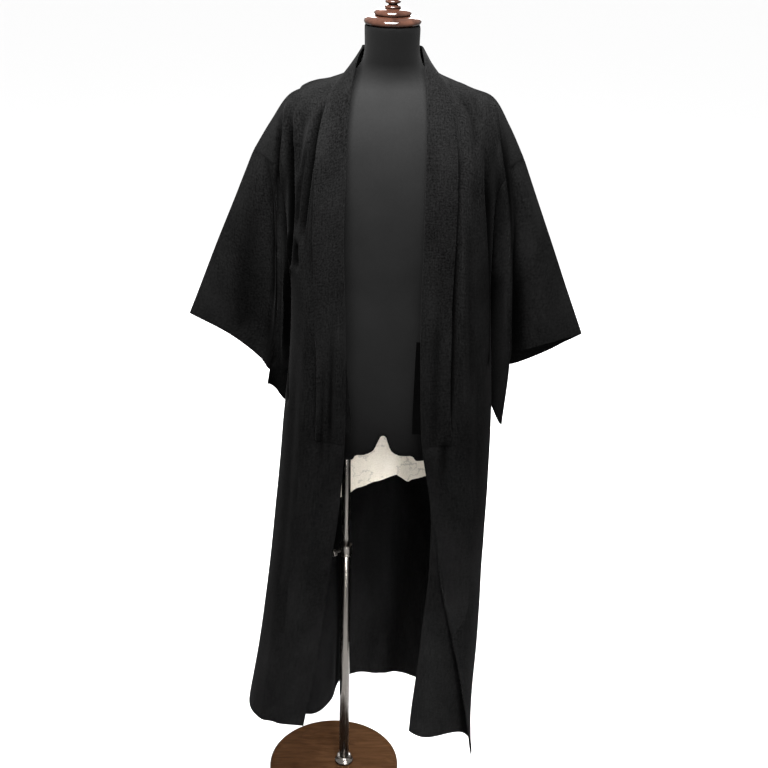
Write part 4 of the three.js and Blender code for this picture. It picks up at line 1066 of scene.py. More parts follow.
    def torso(self) -> bpy.types.Object:
        """The torso as one smooth skin, with the notch between the thigh ends rounded like padding."""
        torso = new_object("torso_jersey", to_frame(self.skin_points()), self.skin_faces())
        cutter = self.notch_bar()
        cut = torso.modifiers.new("notch", "BOOLEAN")
        cut.operation, cut.object, cut.solver = "DIFFERENCE", cutter, "EXACT"
        skin = torso.modifiers.new("skin", "REMESH")
        skin.mode, skin.voxel_size, skin.use_smooth_shade = "VOXEL", self.voxel, True
        smooth = torso.modifiers.new("padding", "SMOOTH")
        smooth.factor, smooth.iterations = 0.5, 6
        mesh = bpy.data.meshes.new_from_object(torso.evaluated_get(bpy.context.evaluated_depsgraph_get()))
        torso.modifiers.clear()
        torso.data = mesh
        mesh.name = "torso_jersey"
        bpy.data.objects.remove(cutter)
        return torso

    def notch_bar(self) -> bpy.types.Object:
        """The bar that the notch is cut with, through from front to back."""
        outline = spline(np.array([(x, 0.0, z) for x, z in self.notch]), [3] * (len(self.notch) - 1))
        count = len(outline)
        near, far = outline + [0, -self.notch_reach, 0], outline + [0, self.notch_reach, 0]
        faces = [(k, k + count, (k + 1) % count + count, (k + 1) % count) for k in range(count)]
        faces += [tuple(range(count)), tuple(reversed(range(count, 2 * count)))]
        bar = new_object("notch_bar", to_frame(np.vstack([near, far])), faces)
        shape = bmesh.new()
        shape.from_mesh(bar.data)
        bmesh.ops.recalc_face_normals(shape, faces=shape.faces)
        shape.to_mesh(bar.data)
        shape.free()
        return bar

    def build(self, jersey: bpy.types.Material, wood: bpy.types.Material) -> None:
        """Makes and dresses the torso, the neck cap, its disc and the finial."""
        dress(self.torso(), jersey, Slot.JERSEY, "form_torso")
        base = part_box("neck_cap")[0][2] / MM
        turned = (
            (self.cap, "neck_cap", 0.0),
            (self.disc, "cap_disc", self.disc_lift),
            (self.finial, "finial", self.finial_lift),
        )
        for profile, node, lift in turned:
            piece = Turned(profile, lift + base, GARMENT_X).build(f"turned_{node}")
            dress(piece, wood, Slot.CAP, node)


# ------------------------ stand


@dataclass
class Stand:
    """The telescopic pole, its clamp, and the round wooden base."""

    base_radius: float = 148
    base_height: float = 20
    base_round: float = 7
    lower_radius: float = 11.2
    upper_radius: float = 9.4
    tube_edge: float = 0.8
    clamp_z: float = 600
    clamp_drop: float = 22
    form_bottom: float = 845
    gap: float = 0.3
    screw_start: float = 14.8
    screw_turn: float = 1.2 * math.pi

    def base_profile(self) -> tuple[Point, ...]:
        """The base's edge: a thin rim below and a slow round above."""
        r, h = self.base_radius, self.base_height
        b = self.base_round
        bend = [(r - b + b * math.cos(a), h - b + b * math.sin(a)) for a in np.linspace(0, QUARTER, 8)]
        return ((0, 0), (r - 3, 0), (r - 0.8, 0.8), (r, 3), *bend, (r - 30, h), (r * 0.5, h), (0, h))

    def socket_profile(self) -> tuple[Point, ...]:
        """The socket's flange and neck round the lower pole."""
        bore = self.lower_radius + self.gap
        flange = ((bore, 0), (20.2, 0), (21, 0.8), (21, 4.4), (20.2, 5.6))
        return (*flange, (17, 9), (16.2, 14.6), (15.4, 16), (bore, 16))

    def clamp_profile(self) -> tuple[Point, ...]:
        """The clamp's collar with its two rims, wide round the lower pole and narrow round the upper one."""
        bore, neck = self.lower_radius + self.gap, self.upper_radius + self.gap
        rim = ((bore, 0), (13.6, 0), (14.5, 1), (14.5, 4), (14, 4.8), (14, 20.4), (14.5, 21.2), (14.5, 25))
        return (*rim, (13.6, 26), (neck, 26), (neck, 22.3), (bore, 22.3))

    def tube_profile(self, radius: float, low: float, high: float) -> tuple[Point, ...]:
        """A pole with its edges eased."""
        e = self.tube_edge
        lower = ((0, low), (radius - e, low), (radius, low + e))
        return (*lower, (radius, high - e), (radius - e, high), (0, high))

    def screw(self) -> bpy.types.Object:
        """The clamp's screw with its ribbed knob, which points back and sideways at the clamp's middle."""
        knob = [(8 - 0.25 * (k % 2), 11 + 0.9 * k) for k in range(1, 9)]
        profile = ((0, 0), (3, 0), (3, 10.8), (6.8, 10.9), *knob, (6.4, 19.8), (0, 20))
        screw = Turned(profile, self.screw_start, 0, segments=40).build("turned_screw")
        turn = Matrix.Rotation(self.screw_turn, 4, "Z") @ Matrix.Rotation(QUARTER, 4, "Y")
        middle = self.clamp_z - self.clamp_drop + 13
        screw.data.transform(Matrix.Translation(Vector((POLE_X, 0, middle)) * MM) @ turn)
        return screw

    def build(self, chrome: bpy.types.Material, wood: bpy.types.Material) -> None:
        """Makes and dresses every piece of the stand."""
        dress(Turned(self.base_profile(), segments=160).build("turned_base"), wood, Slot.BASE, "base_disc")
        floor = self.base_height + self.gap
        lower = self.tube_profile(self.lower_radius, floor, self.clamp_z)
        upper = self.tube_profile(self.upper_radius, self.clamp_z + self.gap, self.form_bottom - self.gap)
        metal = (
            (self.socket_profile(), floor, "turned_socket", "base_socket"),
            (lower, 0, "tube_pole_lower", "pole_lower"),
            (upper, 0, "tube_pole_upper", "pole_upper"),
            (self.clamp_profile(), self.clamp_z - self.clamp_drop, "turned_clamp", "pole_clamp"),
        )
        for profile, base, name, node in metal:
            dress(Turned(profile, base, POLE_X).build(name), chrome, Slot.CHROME, node)
        dress(self.screw(), chrome, Slot.CHROME, "clamp_screw")


# ------------------------ garment


@dataclass
class Sheet:
    """A piece of cloth: a grid of vertex numbers, the cells that it has, and how its wall lies."""

    grid: np.ndarray
    active: np.ndarray
    wall: float
    flip: bool
    dip: float
    shift: float = 0.0

    def rings(self) -> np.ndarray:
        """The corner rows and columns of each cell, going round so that the cloth's face looks outward."""
        i, j = np.nonzero(self.active)
        corners = [(i, j), (i, j + 1), (i + 1, j + 1), (i + 1, j)]
        if self.flip:
            corners = [corners[0], corners[3], corners[2], corners[1]]
        return np.stack([np.stack(c, axis=1) for c in corners], axis=1)

    def open_edges(self) -> np.ndarray:
        """For each cell and each edge of its ring, whether the cloth ends there."""
        padded = np.pad(self.active, 1)
        i, j = np.nonzero(self.active)
        above, below = padded[i, j + 1], padded[i + 2, j + 1]
        left, right = padded[i + 1, j], padded[i + 1, j + 2]
        order = (left, below, right, above) if self.flip else (above, right, below, left)
        return ~np.stack(order, axis=1)

    def numbers(self) -> np.ndarray:
        """The vertex numbers of each cell's ring."""
        rings = self.rings()
        return self.grid[rings[..., 0], rings[..., 1]]


@dataclass
class SidePattern:
    """One side of the garment as fine grids, written as a left side."""

    table: SideTable
    folded: bool
    form: DressForm

    @staticmethod
    def quarter_turn(edge: np.ndarray, side: np.ndarray, full: float, overlap: float) -> np.ndarray:
        """The control points of a front section, on a square-shouldered turn from the edge to the side.

        Args:
            edge: The free edge's point.
            side: The point at the side.
            full: How square the turn is.
            overlap: The distance from the free edge to the overlap's seam.

        Returns:
            One point for each control column.
        """
        a = np.linspace(0, QUARTER, 91)
        x = mix(edge[0], side[0], np.sin(a) ** (2 / full))
        y = mix(side[1], edge[1], np.abs(np.cos(a)) ** (2 / full))
        along = arc_lengths(np.stack([x, y], axis=1))
        total = along[-1]
        rest = [mix(overlap, total, (k + 1) / 5) for k in range(5)]
        stations = np.array([0, COLLAR_WIDTH, overlap, *rest])
        z = mix(edge[2], side[2], (stations / total) ** 1.5)
        return np.stack([np.interp(stations, along, x), np.interp(stations, along, y), z], axis=1)

    def seam_point(self, k: int, depth: int) -> Point:
        """The armhole's point at hanging section k, with its depth in front (1) or behind (2)."""
        row = self.table.armhole[k + OVER_SHOULDER - 1]
        return (row[0], row[depth], row[3])

    def front_section(self, k: int) -> np.ndarray:
        """The control points of a hanging front section."""
        row = self.table.front[k]
        side = at_height(row.side, row.z) if row.side else self.seam_point(k, 1)
        edge = np.array([*row.edge, row.z], float)
        return self.quarter_turn(edge, np.array(side, float), row.full, row.overlap)

    def back_section(self, k: int) -> np.ndarray:
        """The control points of a hanging back section; its first point repeats the centre back."""
        row, front = self.table.back[k], self.table.front[k]
        end = at_height(front.side, front.z) if front.side else self.seam_point(k, 2)
        turn = at_height(row.turn, row.z)
        flat = (0.6 * row.turn[0], row.back - 2, mix(row.z, turn[2], 0.3))
        centre = (0, row.back, row.z)
        rest = (at_height(row.tuck, row.z), at_height(row.wing, row.z), end)
        return np.array([centre, centre, (16, row.back, row.z), flat, turn, *rest], float)

    def shoulder_rows(self, hanging: np.ndarray, back: bool) -> list[np.ndarray]:
        """The rows over the shoulder, from the shoulder line to just above the first hanging section."""
        line = np.array(self.table.shoulder, float)
        rows = [line]
        for k in range(1, OVER_SHOULDER):
            turn = k / OVER_SHOULDER * QUARTER
            level = mix(line[:, :2], hanging[:, :2], math.sin(turn))
            row = np.column_stack([level, mix(hanging[:, 2], line[:, 2], math.cos(turn))])
            if back:
                turn = k / NECK_ROWS * QUARTER
                s, c = math.sin(turn), math.cos(turn)
                row[0] = (line[0, 0] * c, NECK_START + NECK_UPPER[0] * s, line[0, 2] - NECK_UPPER[1] * s)
                row[1] = (line[1, 0] * c, NECK_LOWER[0] * s, line[1, 2] - NECK_LOWER[1] * s)
                row[2] = mix(row[1], row[3], 0.2)
            x, front, behind, z = self.table.armhole[k - 1]
            row[-1] = (x, behind if back else front, z)
            row[-2] = mix(row[-3], row[-1], 0.55)
            row[-2, 1] += ARMHOLE_ROUND if back else -ARMHOLE_ROUND
            rows.append(row)
        return rows

    @staticmethod
    def fold_row(row: np.ndarray, sizes: np.ndarray, m: int, share: float) -> np.ndarray:
        """One row laid over the fold: from the free edge to the ridge, and round from there to the side.

        Args:
            row: The row as it hangs without the fold.
            sizes: The fold's edge, ridge and turn at this row, and its height.
            m: The column of the ridge.
            share: How far down the fold the row lies, from 0 to 1.

        Returns:
            The row's new points.
        """
        ex, ey, rx, ry, tx, ty, z = sizes
        along = arc_lengths(row)
        edge = np.array([ex, ey, z])
        ridge = np.array([rx, ry, z - FOLD_HEM_DROP * share**4])
        pull = np.array([tx, ty, mix(ridge[2], row[-1, 2], 0.5)])
        s = np.linspace(0, 1, 200)[:, None]
        flank = (1 - s) ** 2 * ridge + 2 * s * (1 - s) * pull + s**2 * row[-1]
        length = arc_lengths(flank)
        dip = np.array([ey - ry, rx - ex, 0.0])
        dip /= np.linalg.norm(dip) + 1e-9
        depth = FOLD_VALLEY * share**1.1
        laid = row.copy()
        for j in range(m + 1):
            t = j / m if m else 0.0
            laid[j] = mix(edge, ridge, t) + dip * depth * math.sin(math.pi * t**FOLD_SKEW)
            wave = math.sin(2 * math.pi * (t - FOLD_WAVE_START) / FOLD_WAVE_LENGTH) * (1 - t**8)
            laid[j, 2] += FOLD_HEM_WAVE * wave * share**6
        for j in range(m + 1, len(row)):
            d = (along[j] - along[m]) / (along[-1] - along[m]) * length[-1]
            laid[j] = [np.interp(d, length, flank[:, c]) for c in range(3)]
        return laid

    def add_fold(self, grid: Grid) -> None:
        """Lays the lower rows of the front over its deep fold, whose ridge moves out as it goes down."""
        start = row_start(FOLD_ROW)
        table = np.array([(*row.edge, *row.ridge, *row.turn, row.z) for row in FOLD_ROWS], float)
        fine = spline(table, [FINE] * (len(table) - 1))
        last = len(fine) - 1
        for m, sizes in enumerate(fine):
            row = grid[start + m]
            laid = self.fold_row(row, sizes, m, m / last)
            ease = float(fade_in(np.array(m / FOLD_EASE), 1.0))
            laid[:-1] = mix(row[:-1], laid[:-1], ease)
            grid[start + m] = laid
        # The ridge is rolled over, not pressed to an edge.
        before = grid.copy()
        for m in range(2, last + 1):
            i = start + m
            for j in range(max(1, m - 3), min(grid.shape[1] - 2, m + 4)):
                grid[i, j] = 0.5 * before[i, j] + 0.25 * (before[i, j - 1] + before[i, j + 1])

    def make_body(self) -> tuple[Grid, Grid]:
        """The front and the back, both from the shoulder line to the hem."""
        cells = [c * FINE for c in ROW_CELLS], [c * FINE for c in COLUMN_CELLS]
        hanging = [self.front_section(k) for k in range(len(self.table.front))]
        behind = [self.back_section(k) for k in range(len(self.table.back))]
        front = refine_net([*self.shoulder_rows(hanging[0], False), *hanging], *cells)
        back = refine_net([*self.shoulder_rows(behind[0], True), *behind], *cells)
        if self.folded:
            self.add_fold(front)
        clear = np.where(np.arange(front.shape[1]) <= COLLAR_COLUMN, COLLAR_CLEAR, CLOTH_CLEAR)
        for grid in (front, back):
            flat = grid.reshape(-1, 3)
            flat[:] = self.form.clear(flat, np.tile(clear, grid.shape[0]))
        back[0] = front[0]
        back[row_start(UNDERARM_ROW) :, ARMHOLE_COLUMN] = front[row_start(UNDERARM_ROW) :, ARMHOLE_COLUMN]
        back[row_start(NECK_ROWS) :, COLLAR_COLUMN, 0] = 0
        back[row_start(NECK_ROWS), :COLLAR_COLUMN, 0] = 0
        return front, back

    def sleeve_nets(self, seams: tuple[np.ndarray, np.ndarray]) -> tuple[list[np.ndarray], list[np.ndarray]]:
        """The sleeve's control rows in front and behind, from the shoulder down.

        Args:
            seams: The body's edges that the sleeve is sewn to, in front and behind.

        Returns:
            The rows in front and the rows behind.
        """
        stations = [row_start(3), row_start(2), row_start(2) - FINE, row_start(1), 0]
        first = seams[0][stations]
        front, back = [first], [np.vstack([seams[1][stations[:4]], first[4:]])]
        for k, row in enumerate(self.table.sleeve):
            fore, behind = (seam[row_start(k + OVER_SHOULDER)] for seam in seams)
            if row.inner:
                i = int(np.argmax(seams[0][:, 2] < row.inner))
                fore = behind = seams[0][i] + [SLEEVE_ASIDE, SLEEVE_BEHIND, 0]
            outer = [row.ridge, row.recess or row.ridge, row.middle or row.ridge, row.top or row.ridge]
            front.append(np.array([fore, *outer], float))
            other = np.array([behind, *outer], float)
            if row.recess:
                other[1:, 1] *= -row.behind
                other[2, 1] = SLEEVE_BACK
                other[1:4, 2] += self.table.back_drop[k]
                other[1, 0] -= 2
            back.append(other)
        for net in (front, back):
            net[-1][2:] = 2 * net[-2][2:] - net[-3][2:]
        return front, back

    @staticmethod
    def sew_on(half: Grid, seam: np.ndarray) -> None:
        """Eases a half of the sleeve onto its seam, over the shoulder and down to the armhole's end."""
        top, ease = row_start(3), 2 * FINE
        move = seam[top::-1] - half[0]
        for i in range(ease):
            half[i] += move * (1 - i / ease) ** 2
        sewn = row_start(ARMHOLE_END_ROW) - top + 1
        move = seam[top : top + sewn] - half[:sewn, 0]
        for j in range(FINE):
            half[:sewn, j] += move * (1 - j / FINE) ** 2

    def make_sleeve(self, front: Grid, back: Grid) -> tuple[Grid, np.ndarray]:
        """The sleeve as one grid, from the inner edge in front over the folded top to the inner edge behind.

        Args:
            front: The body's front grid.
            back: The body's back grid.

        Returns:
            The grid, and which of its cells are cloth.
        """
        seams = (front[:, ARMHOLE_COLUMN], back[:, ARMHOLE_COLUMN])
        cells = [c * FINE for c in (ROW_CELLS[2], 1, 1, ROW_CELLS[0])]
        row_cells = [c * FINE for c in (*ROW_CELLS[3:6], 3, 3)]
        fore, behind = (refine_net(net, row_cells, cells) for net in self.sleeve_nets(seams))
        self.sew_on(fore, seams[0])
        self.sew_on(behind, seams[1])
        closed = sum(row_cells[:3])
        behind[closed:, 0] = fore[closed:, 0]
        behind[-1, : cells[0] + 1] = fore[-1, : cells[0] + 1]
        behind[:, -1] = fore[:, -1]
        grid = np.concatenate([fore, behind[:, -2::-1]], axis=1)
        rows, columns = np.indices((grid.shape[0] - 1, grid.shape[1] - 1))
        is_inner = (columns < cells[0]) | (columns >= grid.shape[1] - 1 - cells[0])
        return grid, (rows < closed + row_cells[3]) | is_inner


class Garment:
    """The yukata: joins both sides, presses the creases, and makes a wall of each piece."""

    def __init__(self, form: DressForm) -> None:
        """Keeps the form that the cloth hangs on."""
        self.form = form
        self.points = np.zeros((0, 3))
        self.normals = np.zeros((0, 3))
        self.hollow = np.zeros(0)
        self.sheets: dict[str, Sheet] = {}

    @staticmethod
    def body_cells(whole: Grid, front: Grid) -> tuple[np.ndarray, np.ndarray]:
        """Which cells of a side's whole grid are its body, and which cells of its front are its overlap."""
        tip = row_start(OVERLAP_TIP_ROW)
        i, j = np.indices((whole.shape[0] - 1, whole.shape[1] - 1))
        body = (j >= COLLAR_COLUMN) & ((HEM_ROW - 1 - i < tip) | (j >= OVERLAP_COLUMN))
        i, j = np.indices((front.shape[0] - 1, front.shape[1] - 1))
        below = (j >= COLLAR_COLUMN) | (i >= row_start(COLLAR_END_ROW))
        return body, (i >= tip) & (j < OVERLAP_COLUMN) & below

    def lay_out(self) -> None:
        """Builds both sides and lists every sheet as vertex numbers into one shared set of points."""
        patterns = {side: SidePattern(TABLES[side], side is Side.LEFT, self.form) for side in Side}
        sides = {side: pattern.make_body() for side, pattern in patterns.items()}
        left_back, right_back = sides[Side.LEFT][1], sides[Side.RIGHT][1]
        neck = row_start(NECK_ROWS)
        right_back[neck:, COLLAR_COLUMN] = left_back[neck:, COLLAR_COLUMN]
        right_back[neck, :COLLAR_COLUMN] = left_back[neck, :COLLAR_COLUMN]
        grids: dict[str, tuple[Grid, np.ndarray, float, bool]] = {}
        bands = {}
        for side, (front, back) in sides.items():
            sleeve, sleeve_cells = patterns[side].make_sleeve(front, back)
            mirror = np.array([side.sign, 1, 1])
            front, back, sleeve = front * mirror, back * mirror, sleeve * mirror
            turned = side is Side.RIGHT
            whole = np.concatenate([front[::-1], back[1:]])
            body, overlap = self.body_cells(whole, front)
            grids[f"body_{side.label}"] = (whole, body, CLOTH_WALL, turned)
            grids[f"overlap_{side.label}"] = (front, overlap, CLOTH_WALL, not turned)
            grids[f"sleeve_{side.label}"] = (sleeve, sleeve_cells, CLOTH_WALL, not turned)
            band = np.concatenate([front[row_start(COLLAR_END_ROW) :: -1], back[1 : neck + 1]])
            bands[side] = band[:, : COLLAR_COLUMN + 1]
        collar = np.concatenate([bands[Side.LEFT], bands[Side.RIGHT][-2::-1]])
        everywhere = np.ones((collar.shape[0] - 1, collar.shape[1] - 1), bool)
        grids["collar"] = (collar, everywhere, COLLAR_WALL, False)
        self.weld(grids)

    def weld(self, grids: dict[str, tuple[Grid, np.ndarray, float, bool]]) -> None:
        """Gives every point that grids share one number."""
        stacked = np.concatenate([grid.reshape(-1, 3) for grid, *_ in grids.values()])
        keys = np.rint(stacked / WELD_DISTANCE).astype(np.int64)
        _, first, inverse = np.unique(keys, axis=0, return_index=True, return_inverse=True)
        self.points = stacked[first]
        self.hollow = np.zeros(len(self.points))
        inverse = inverse.ravel()
        at = 0
        for name, (grid, active, wall, flip) in grids.items():
            count = grid.shape[0] * grid.shape[1]
            numbers = inverse[at : at + count].reshape(grid.shape[:2])
            at += count
            dip = COLLAR_DIP if name == "collar" else SEAM_DIP
            self.sheets[name] = Sheet(numbers, active, wall, flip, dip)

    def shade_fold(self) -> None:
        """Paints shade into the colour inside the left front's fold, just before its ridge."""
        numbers = self.sheets["overlap_left"].grid
        start = row_start(FOLD_ROW)
        for m in range(2, HEM_ROW - start + 1):
            t = np.arange(m + 1) / m
            strength = FOLD_PAINTED_SHADE * min(1.0, m / 8)
            tone = strength * np.exp(-(((t - FOLD_PAINTED_SHADE_PLACE) / FOLD_PAINTED_SHADE_WIDTH) ** 2))
            self.hollow[numbers[start + m, : m + 1]] = tone

    def find_normals(self) -> None:
        """The shared normal of each point, the mean over all the cloth that meets there."""
        total = np.zeros_like(self.points)
        for sheet in self.sheets.values():
            numbers = sheet.numbers()
            a, b, c, d = (self.points[numbers[:, k]] for k in range(4))
            normal = np.cross(c - a, d - b)
            normal /= np.linalg.norm(normal, axis=1, keepdims=True) + 1e-12
            for k in range(4):
                np.add.at(total, numbers[:, k], normal)
        self.normals = total / (np.linalg.norm(total, axis=1, keepdims=True) + 1e-12)

    def members(self, names: list[str]) -> np.ndarray:
        """Which points belong to the named sheets."""
        mask = np.zeros(len(self.points), bool)
        for name in names:
            mask[self.sheets[name].numbers().ravel()] = True
        return mask

    @staticmethod
    def crease_line(side: Side, crease: Crease, p: np.ndarray) -> np.ndarray:
        """The crease's path as a curve that lies on the outermost of the points p."""
        path = np.array([(x * side.sign, 0.0, z) for x, z in crease.path])
        line = spline(path, [CREASE_STEPS] * (len(path) - 1))
        for point in line:
            near = np.hypot(p[:, 0] - point[0], p[:, 2] - point[2])
            outer = p[near < near.min() + CREASE_FIND, 1] * crease.face.value
            point[1] = outer.max() * crease.face.value
        for _ in range(CREASE_SMOOTHINGS):
            line[1:-1, 1] = 0.25 * line[:-2, 1] + 0.5 * line[1:-1, 1] + 0.25 * line[2:, 1]
        return line

    @staticmethod
    def measure_from(line: np.ndarray, p: np.ndarray) -> tuple[np.ndarray, np.ndarray, np.ndarray]:
        """How the points p lie to a line.

        Args:
            line: The line's points.
            p: The points to measure.

        Returns:
            Each point's distance from the line, that distance seen from the front, and its place along it
            from 0 to 1.
        """
        along = arc_lengths(line)
        best = np.full(len(p), np.inf)
        beside = np.full(len(p), np.inf)
        place = np.zeros(len(p))
        for k in range(len(line) - 1):
            step = line[k + 1] - line[k]
            t = np.clip(((p - line[k]) @ step) / (step @ step), 0, 1)
            offset = p - (line[k] + t[:, None] * step)
            away = np.linalg.norm(offset, axis=1)
            beside = np.minimum(beside, np.hypot(*offset[:, ::2].T))
            nearer = away < best
            best[nearer] = away[nearer]
            place[nearer] = (along[k] + t[nearer] * (along[k + 1] - along[k])) / along[-1]
        return best, beside, place

    def press(self, side: Side, crease: Crease) -> None:
        """Presses one crease into the sheets that it names, along its path on their surface."""
        names = ["collar" if name == "collar" else f"{name}_{side.label}" for name in crease.on]
        outward = self.normals[:, 1] * crease.face.value
        facing = np.clip((outward + CREASE_TURN) / CREASE_TURN_SPAN, 0, 1)
        chosen = np.nonzero(self.members(names) & (facing > 0) & (self.points[:, 0] * side.sign > -1))[0]
        p, facing = self.points[chosen], facing[chosen]
        best, beside, place = self.measure_from(self.crease_line(side, crease, p), p)
        start, end = crease.fade
        strength = fade_in(place, start) * fade_in(1 - place, end) * facing
        push = crease.depth * strength * np.exp(-((best / crease.width) ** 2))
        self.points[chosen] += self.normals[chosen] * push[:, None]
        # Painted shade: the colour is darkened near the path as seen from the front, also on walls turned
        # away from it.
        strength = strength / np.maximum(facing, 0.01) * np.minimum(1, 2 * facing)
        shade = crease.dark * strength * np.exp(-((beside / crease.width) ** 2)) * (best < CREASE_REACH)
        self.hollow[chosen] = np.maximum(self.hollow[chosen], shade)

    def press_all(self) -> None:
        """Presses every crease, adds the cloth's slight unevenness, and clears the form again."""
        self.find_normals()
        for side, table in TABLES.items():
            for crease in table.creases:
                self.press(side, crease)
        p = self.points
        uneven = sum(
            np.sin(p[:, 0] * a + p[:, 1] * a * 0.8 + p[:, 2] * b + turn) for a, b, turn in UNEVEN_WAVES
        )
        self.points = p + self.normals * (UNEVEN_SIZE * uneven)[:, None]
        band = self.members(["collar"])
        self.points = self.form.clear(self.points, np.where(band, COLLAR_CLEAR, CLOTH_CLEAR))
        self.points[self.points[:, 2] < 0, 2] = 0
        self.find_normals()

    @staticmethod
    def wall(
        sheet: Sheet, points: np.ndarray, normals: np.ndarray, hollow: np.ndarray
    ) -> tuple[np.ndarray, ...]:
        """The closed wall of a sheet.

        Args:
            sheet: The sheet, with vertex numbers into points.
            points: The points that the sheet's grid names.
            normals: Their normals.
            hollow: How much painted shade darkens each of them, from 0 to 1.

        Returns:
            The wall's vertices in metres, its faces, and each vertex's UV coordinate in metres and its
            painted shade.
        """
        rings, is_open = sheet.rings(), sheet.open_edges()
        local = rings[..., 0] * sheet.grid.shape[1] + rings[..., 1]
        used, compact = np.unique(local, return_inverse=True)
        compact = compact.reshape(local.shape)
        numbers = sheet.grid.ravel()[used]
        normal = normals[numbers]
        place = points[numbers] + normal * sheet.shift
        count = len(place)
        at_edge = np.zeros(count, bool)
        faces = [compact, compact[:, ::-1] + count]
        for k in range(4):
            p, q = compact[is_open[:, k], k], compact[is_open[:, k], (k + 1) % 4]
            at_edge[p] = at_edge[q] = True
            faces.append(np.stack([p, p + count, q + count, q], axis=1))
        sunk = np.where(at_edge, sheet.dip, 0)[:, None]
        outer = place + normal * (sheet.wall / 2 - sunk)
        inner = place - normal * (sheet.wall / 2 - np.minimum(sunk, 0.1 * sheet.wall))
        cloth = [arc_lengths(points[sheet.grid], axis=axis).ravel()[used] for axis in (1, 0)]
        uv = np.stack(cloth, axis=1) * MM
        corners = to_frame(np.vstack([outer, inner]))
        return corners, np.vstack(faces), np.vstack([uv, uv]), np.tile(hollow[numbers], 2)

    def collar_inside(self, side: Side) -> tuple[Sheet, np.ndarray, np.ndarray]:
        """The inner half of the band where it hangs clear of the outer half and shows in the opening.

        Args:
            side: The wearer's side.

        Returns:
            The sheet, its points and their normals.
        """
        top, bottom, first, last = TABLES[side].inside
        front = self.points[self.sheets[f"overlap_{side.label}"].grid]
        edge_z = front[:, 0, 2]
        behind = (COLLAR_WALL + INSIDE_WALL) / 2 + LAYER_GAP + LAYER_EASE
        count, reach = 5 * FINE, 2 * FINE
        strips = []
        for k in range(count + 1):
            z = mix(top, bottom, k / count)
            i = int(np.argmax(edge_z < z)) - 1
            t = (edge_z[i] - z) / (edge_z[i] - edge_z[i + 1])
            row = mix(front[i], front[i + 1], t)
            moved = mix(first, last, k / count) / np.linalg.norm(row[1] - row[0])
            at = np.arange(reach + 1) - moved
            c = np.maximum(0, np.floor(at).astype(int))
            strip = row[c] + (row[c + 1] - row[c]) * (at - c)[:, None]
            strip[:, 1] += behind
            strips.append(strip)
        net = np.stack(strips)
        numbers = np.arange((count + 1) * (reach + 1)).reshape(count + 1, reach + 1)
        sheet = Sheet(numbers, np.ones((count, reach), bool), INSIDE_WALL, side is Side.LEFT, THIN_DIP)
        normals = np.cross(np.gradient(net, axis=1), np.gradient(net, axis=0)).reshape(-1, 3)
        normals *= -1 if sheet.flip else 1
        normals /= np.linalg.norm(normals, axis=1, keepdims=True)
        return sheet, net.reshape(-1, 3), normals

    def lining(self) -> Sheet:
        """The lining inside the seat, laid on the body's own points."""
        start, end = (HEM_ROW + row_start(row) for row in LINING_ROWS)
        cells = (slice(start, end + FINE + 1), slice(COLLAR_COLUMN, column_start("tip") + 1))
        left, right = self.sheets["body_left"].grid[cells], self.sheets["body_right"].grid[cells]
        grid = np.concatenate([right[:, ::-1], left[:, 1:]], axis=1)
        everywhere = np.ones((grid.shape[0] - 1, grid.shape[1] - 1), bool)
        depth = CLOTH_WALL / 2 + LAYER_GAP + LAYER_EASE + LINING_WALL / 2
        return Sheet(grid, everywhere, LINING_WALL, False, THIN_DIP, -depth)

    def crumpled(self) -> np.ndarray:
        """The body's points as the lining follows them: crumpled below the form, with its own uneven hem."""
        p = self.points.copy()
        loose = fade_in(np.clip((LINING_LOOSE - p[:, 2]) / LINING_FADE, 0, 1), 1.0)
        bend = 0.6 * np.sin(p[:, 2] * 0.05 + p[:, 0] * 0.03)
        ridges = sum(
            size * (1 - np.abs(np.sin(p[:, 0] * a + p[:, 2] * b + turn + bend))) ** 2
            for size, a, b, turn in LINING_WRINKLES
        )
        p -= self.normals * (loose * ridges)[:, None]
        hem = np.interp(p[:, 0], *zip(*LINING_HEM))
        low = p[:, 2] < LINING_TOP
        share = (LINING_TOP - hem) / (LINING_TOP - LINING_LOW)
        p[low, 2] = LINING_TOP - (LINING_TOP - p[low, 2]) * share[low]
        return p

    def build(self, cloth: bpy.types.Material, lining: bpy.types.Material) -> None:
        """Makes and dresses every piece of the garment."""
        self.lay_out()
        self.shade_fold()
        self.press_all()
        for name, sheet in self.sheets.items():
            wall = self.wall(sheet, self.points, self.normals, self.hollow)
            piece = new_object(f"cloth_{name}", *wall)
            dress(piece, cloth, Slot.CLOTH, name)
        for side in Side:
            sheet, points, normals = self.collar_inside(side)
            # The inner half of the collar is darkened all over with painted shade.
            wall = self.wall(sheet, points, normals, np.full(len(points), INSIDE_PAINTED_SHADE[side]))
            piece = new_object(f"cloth_collar_inside_{side.label}", *wall)
            dress(piece, cloth, Slot.CLOTH, f"collar_inside_{side.label}")
        wall = self.wall(self.lining(), self.crumpled(), self.normals, np.zeros(len(self.points)))
        piece = new_object("cloth_seat_lining", *wall)
        dress(piece, lining, Slot.LINING, "seat_lining")


TABLES = {Side.LEFT: LEFT_TABLE, Side.RIGHT: RIGHT_TABLE}
# How much painted shade darkens the inner half of the collar on each side.
INSIDE_PAINTED_SHADE = {Side.LEFT: 0.85, Side.RIGHT: 0.4}


# ------------------------ studio


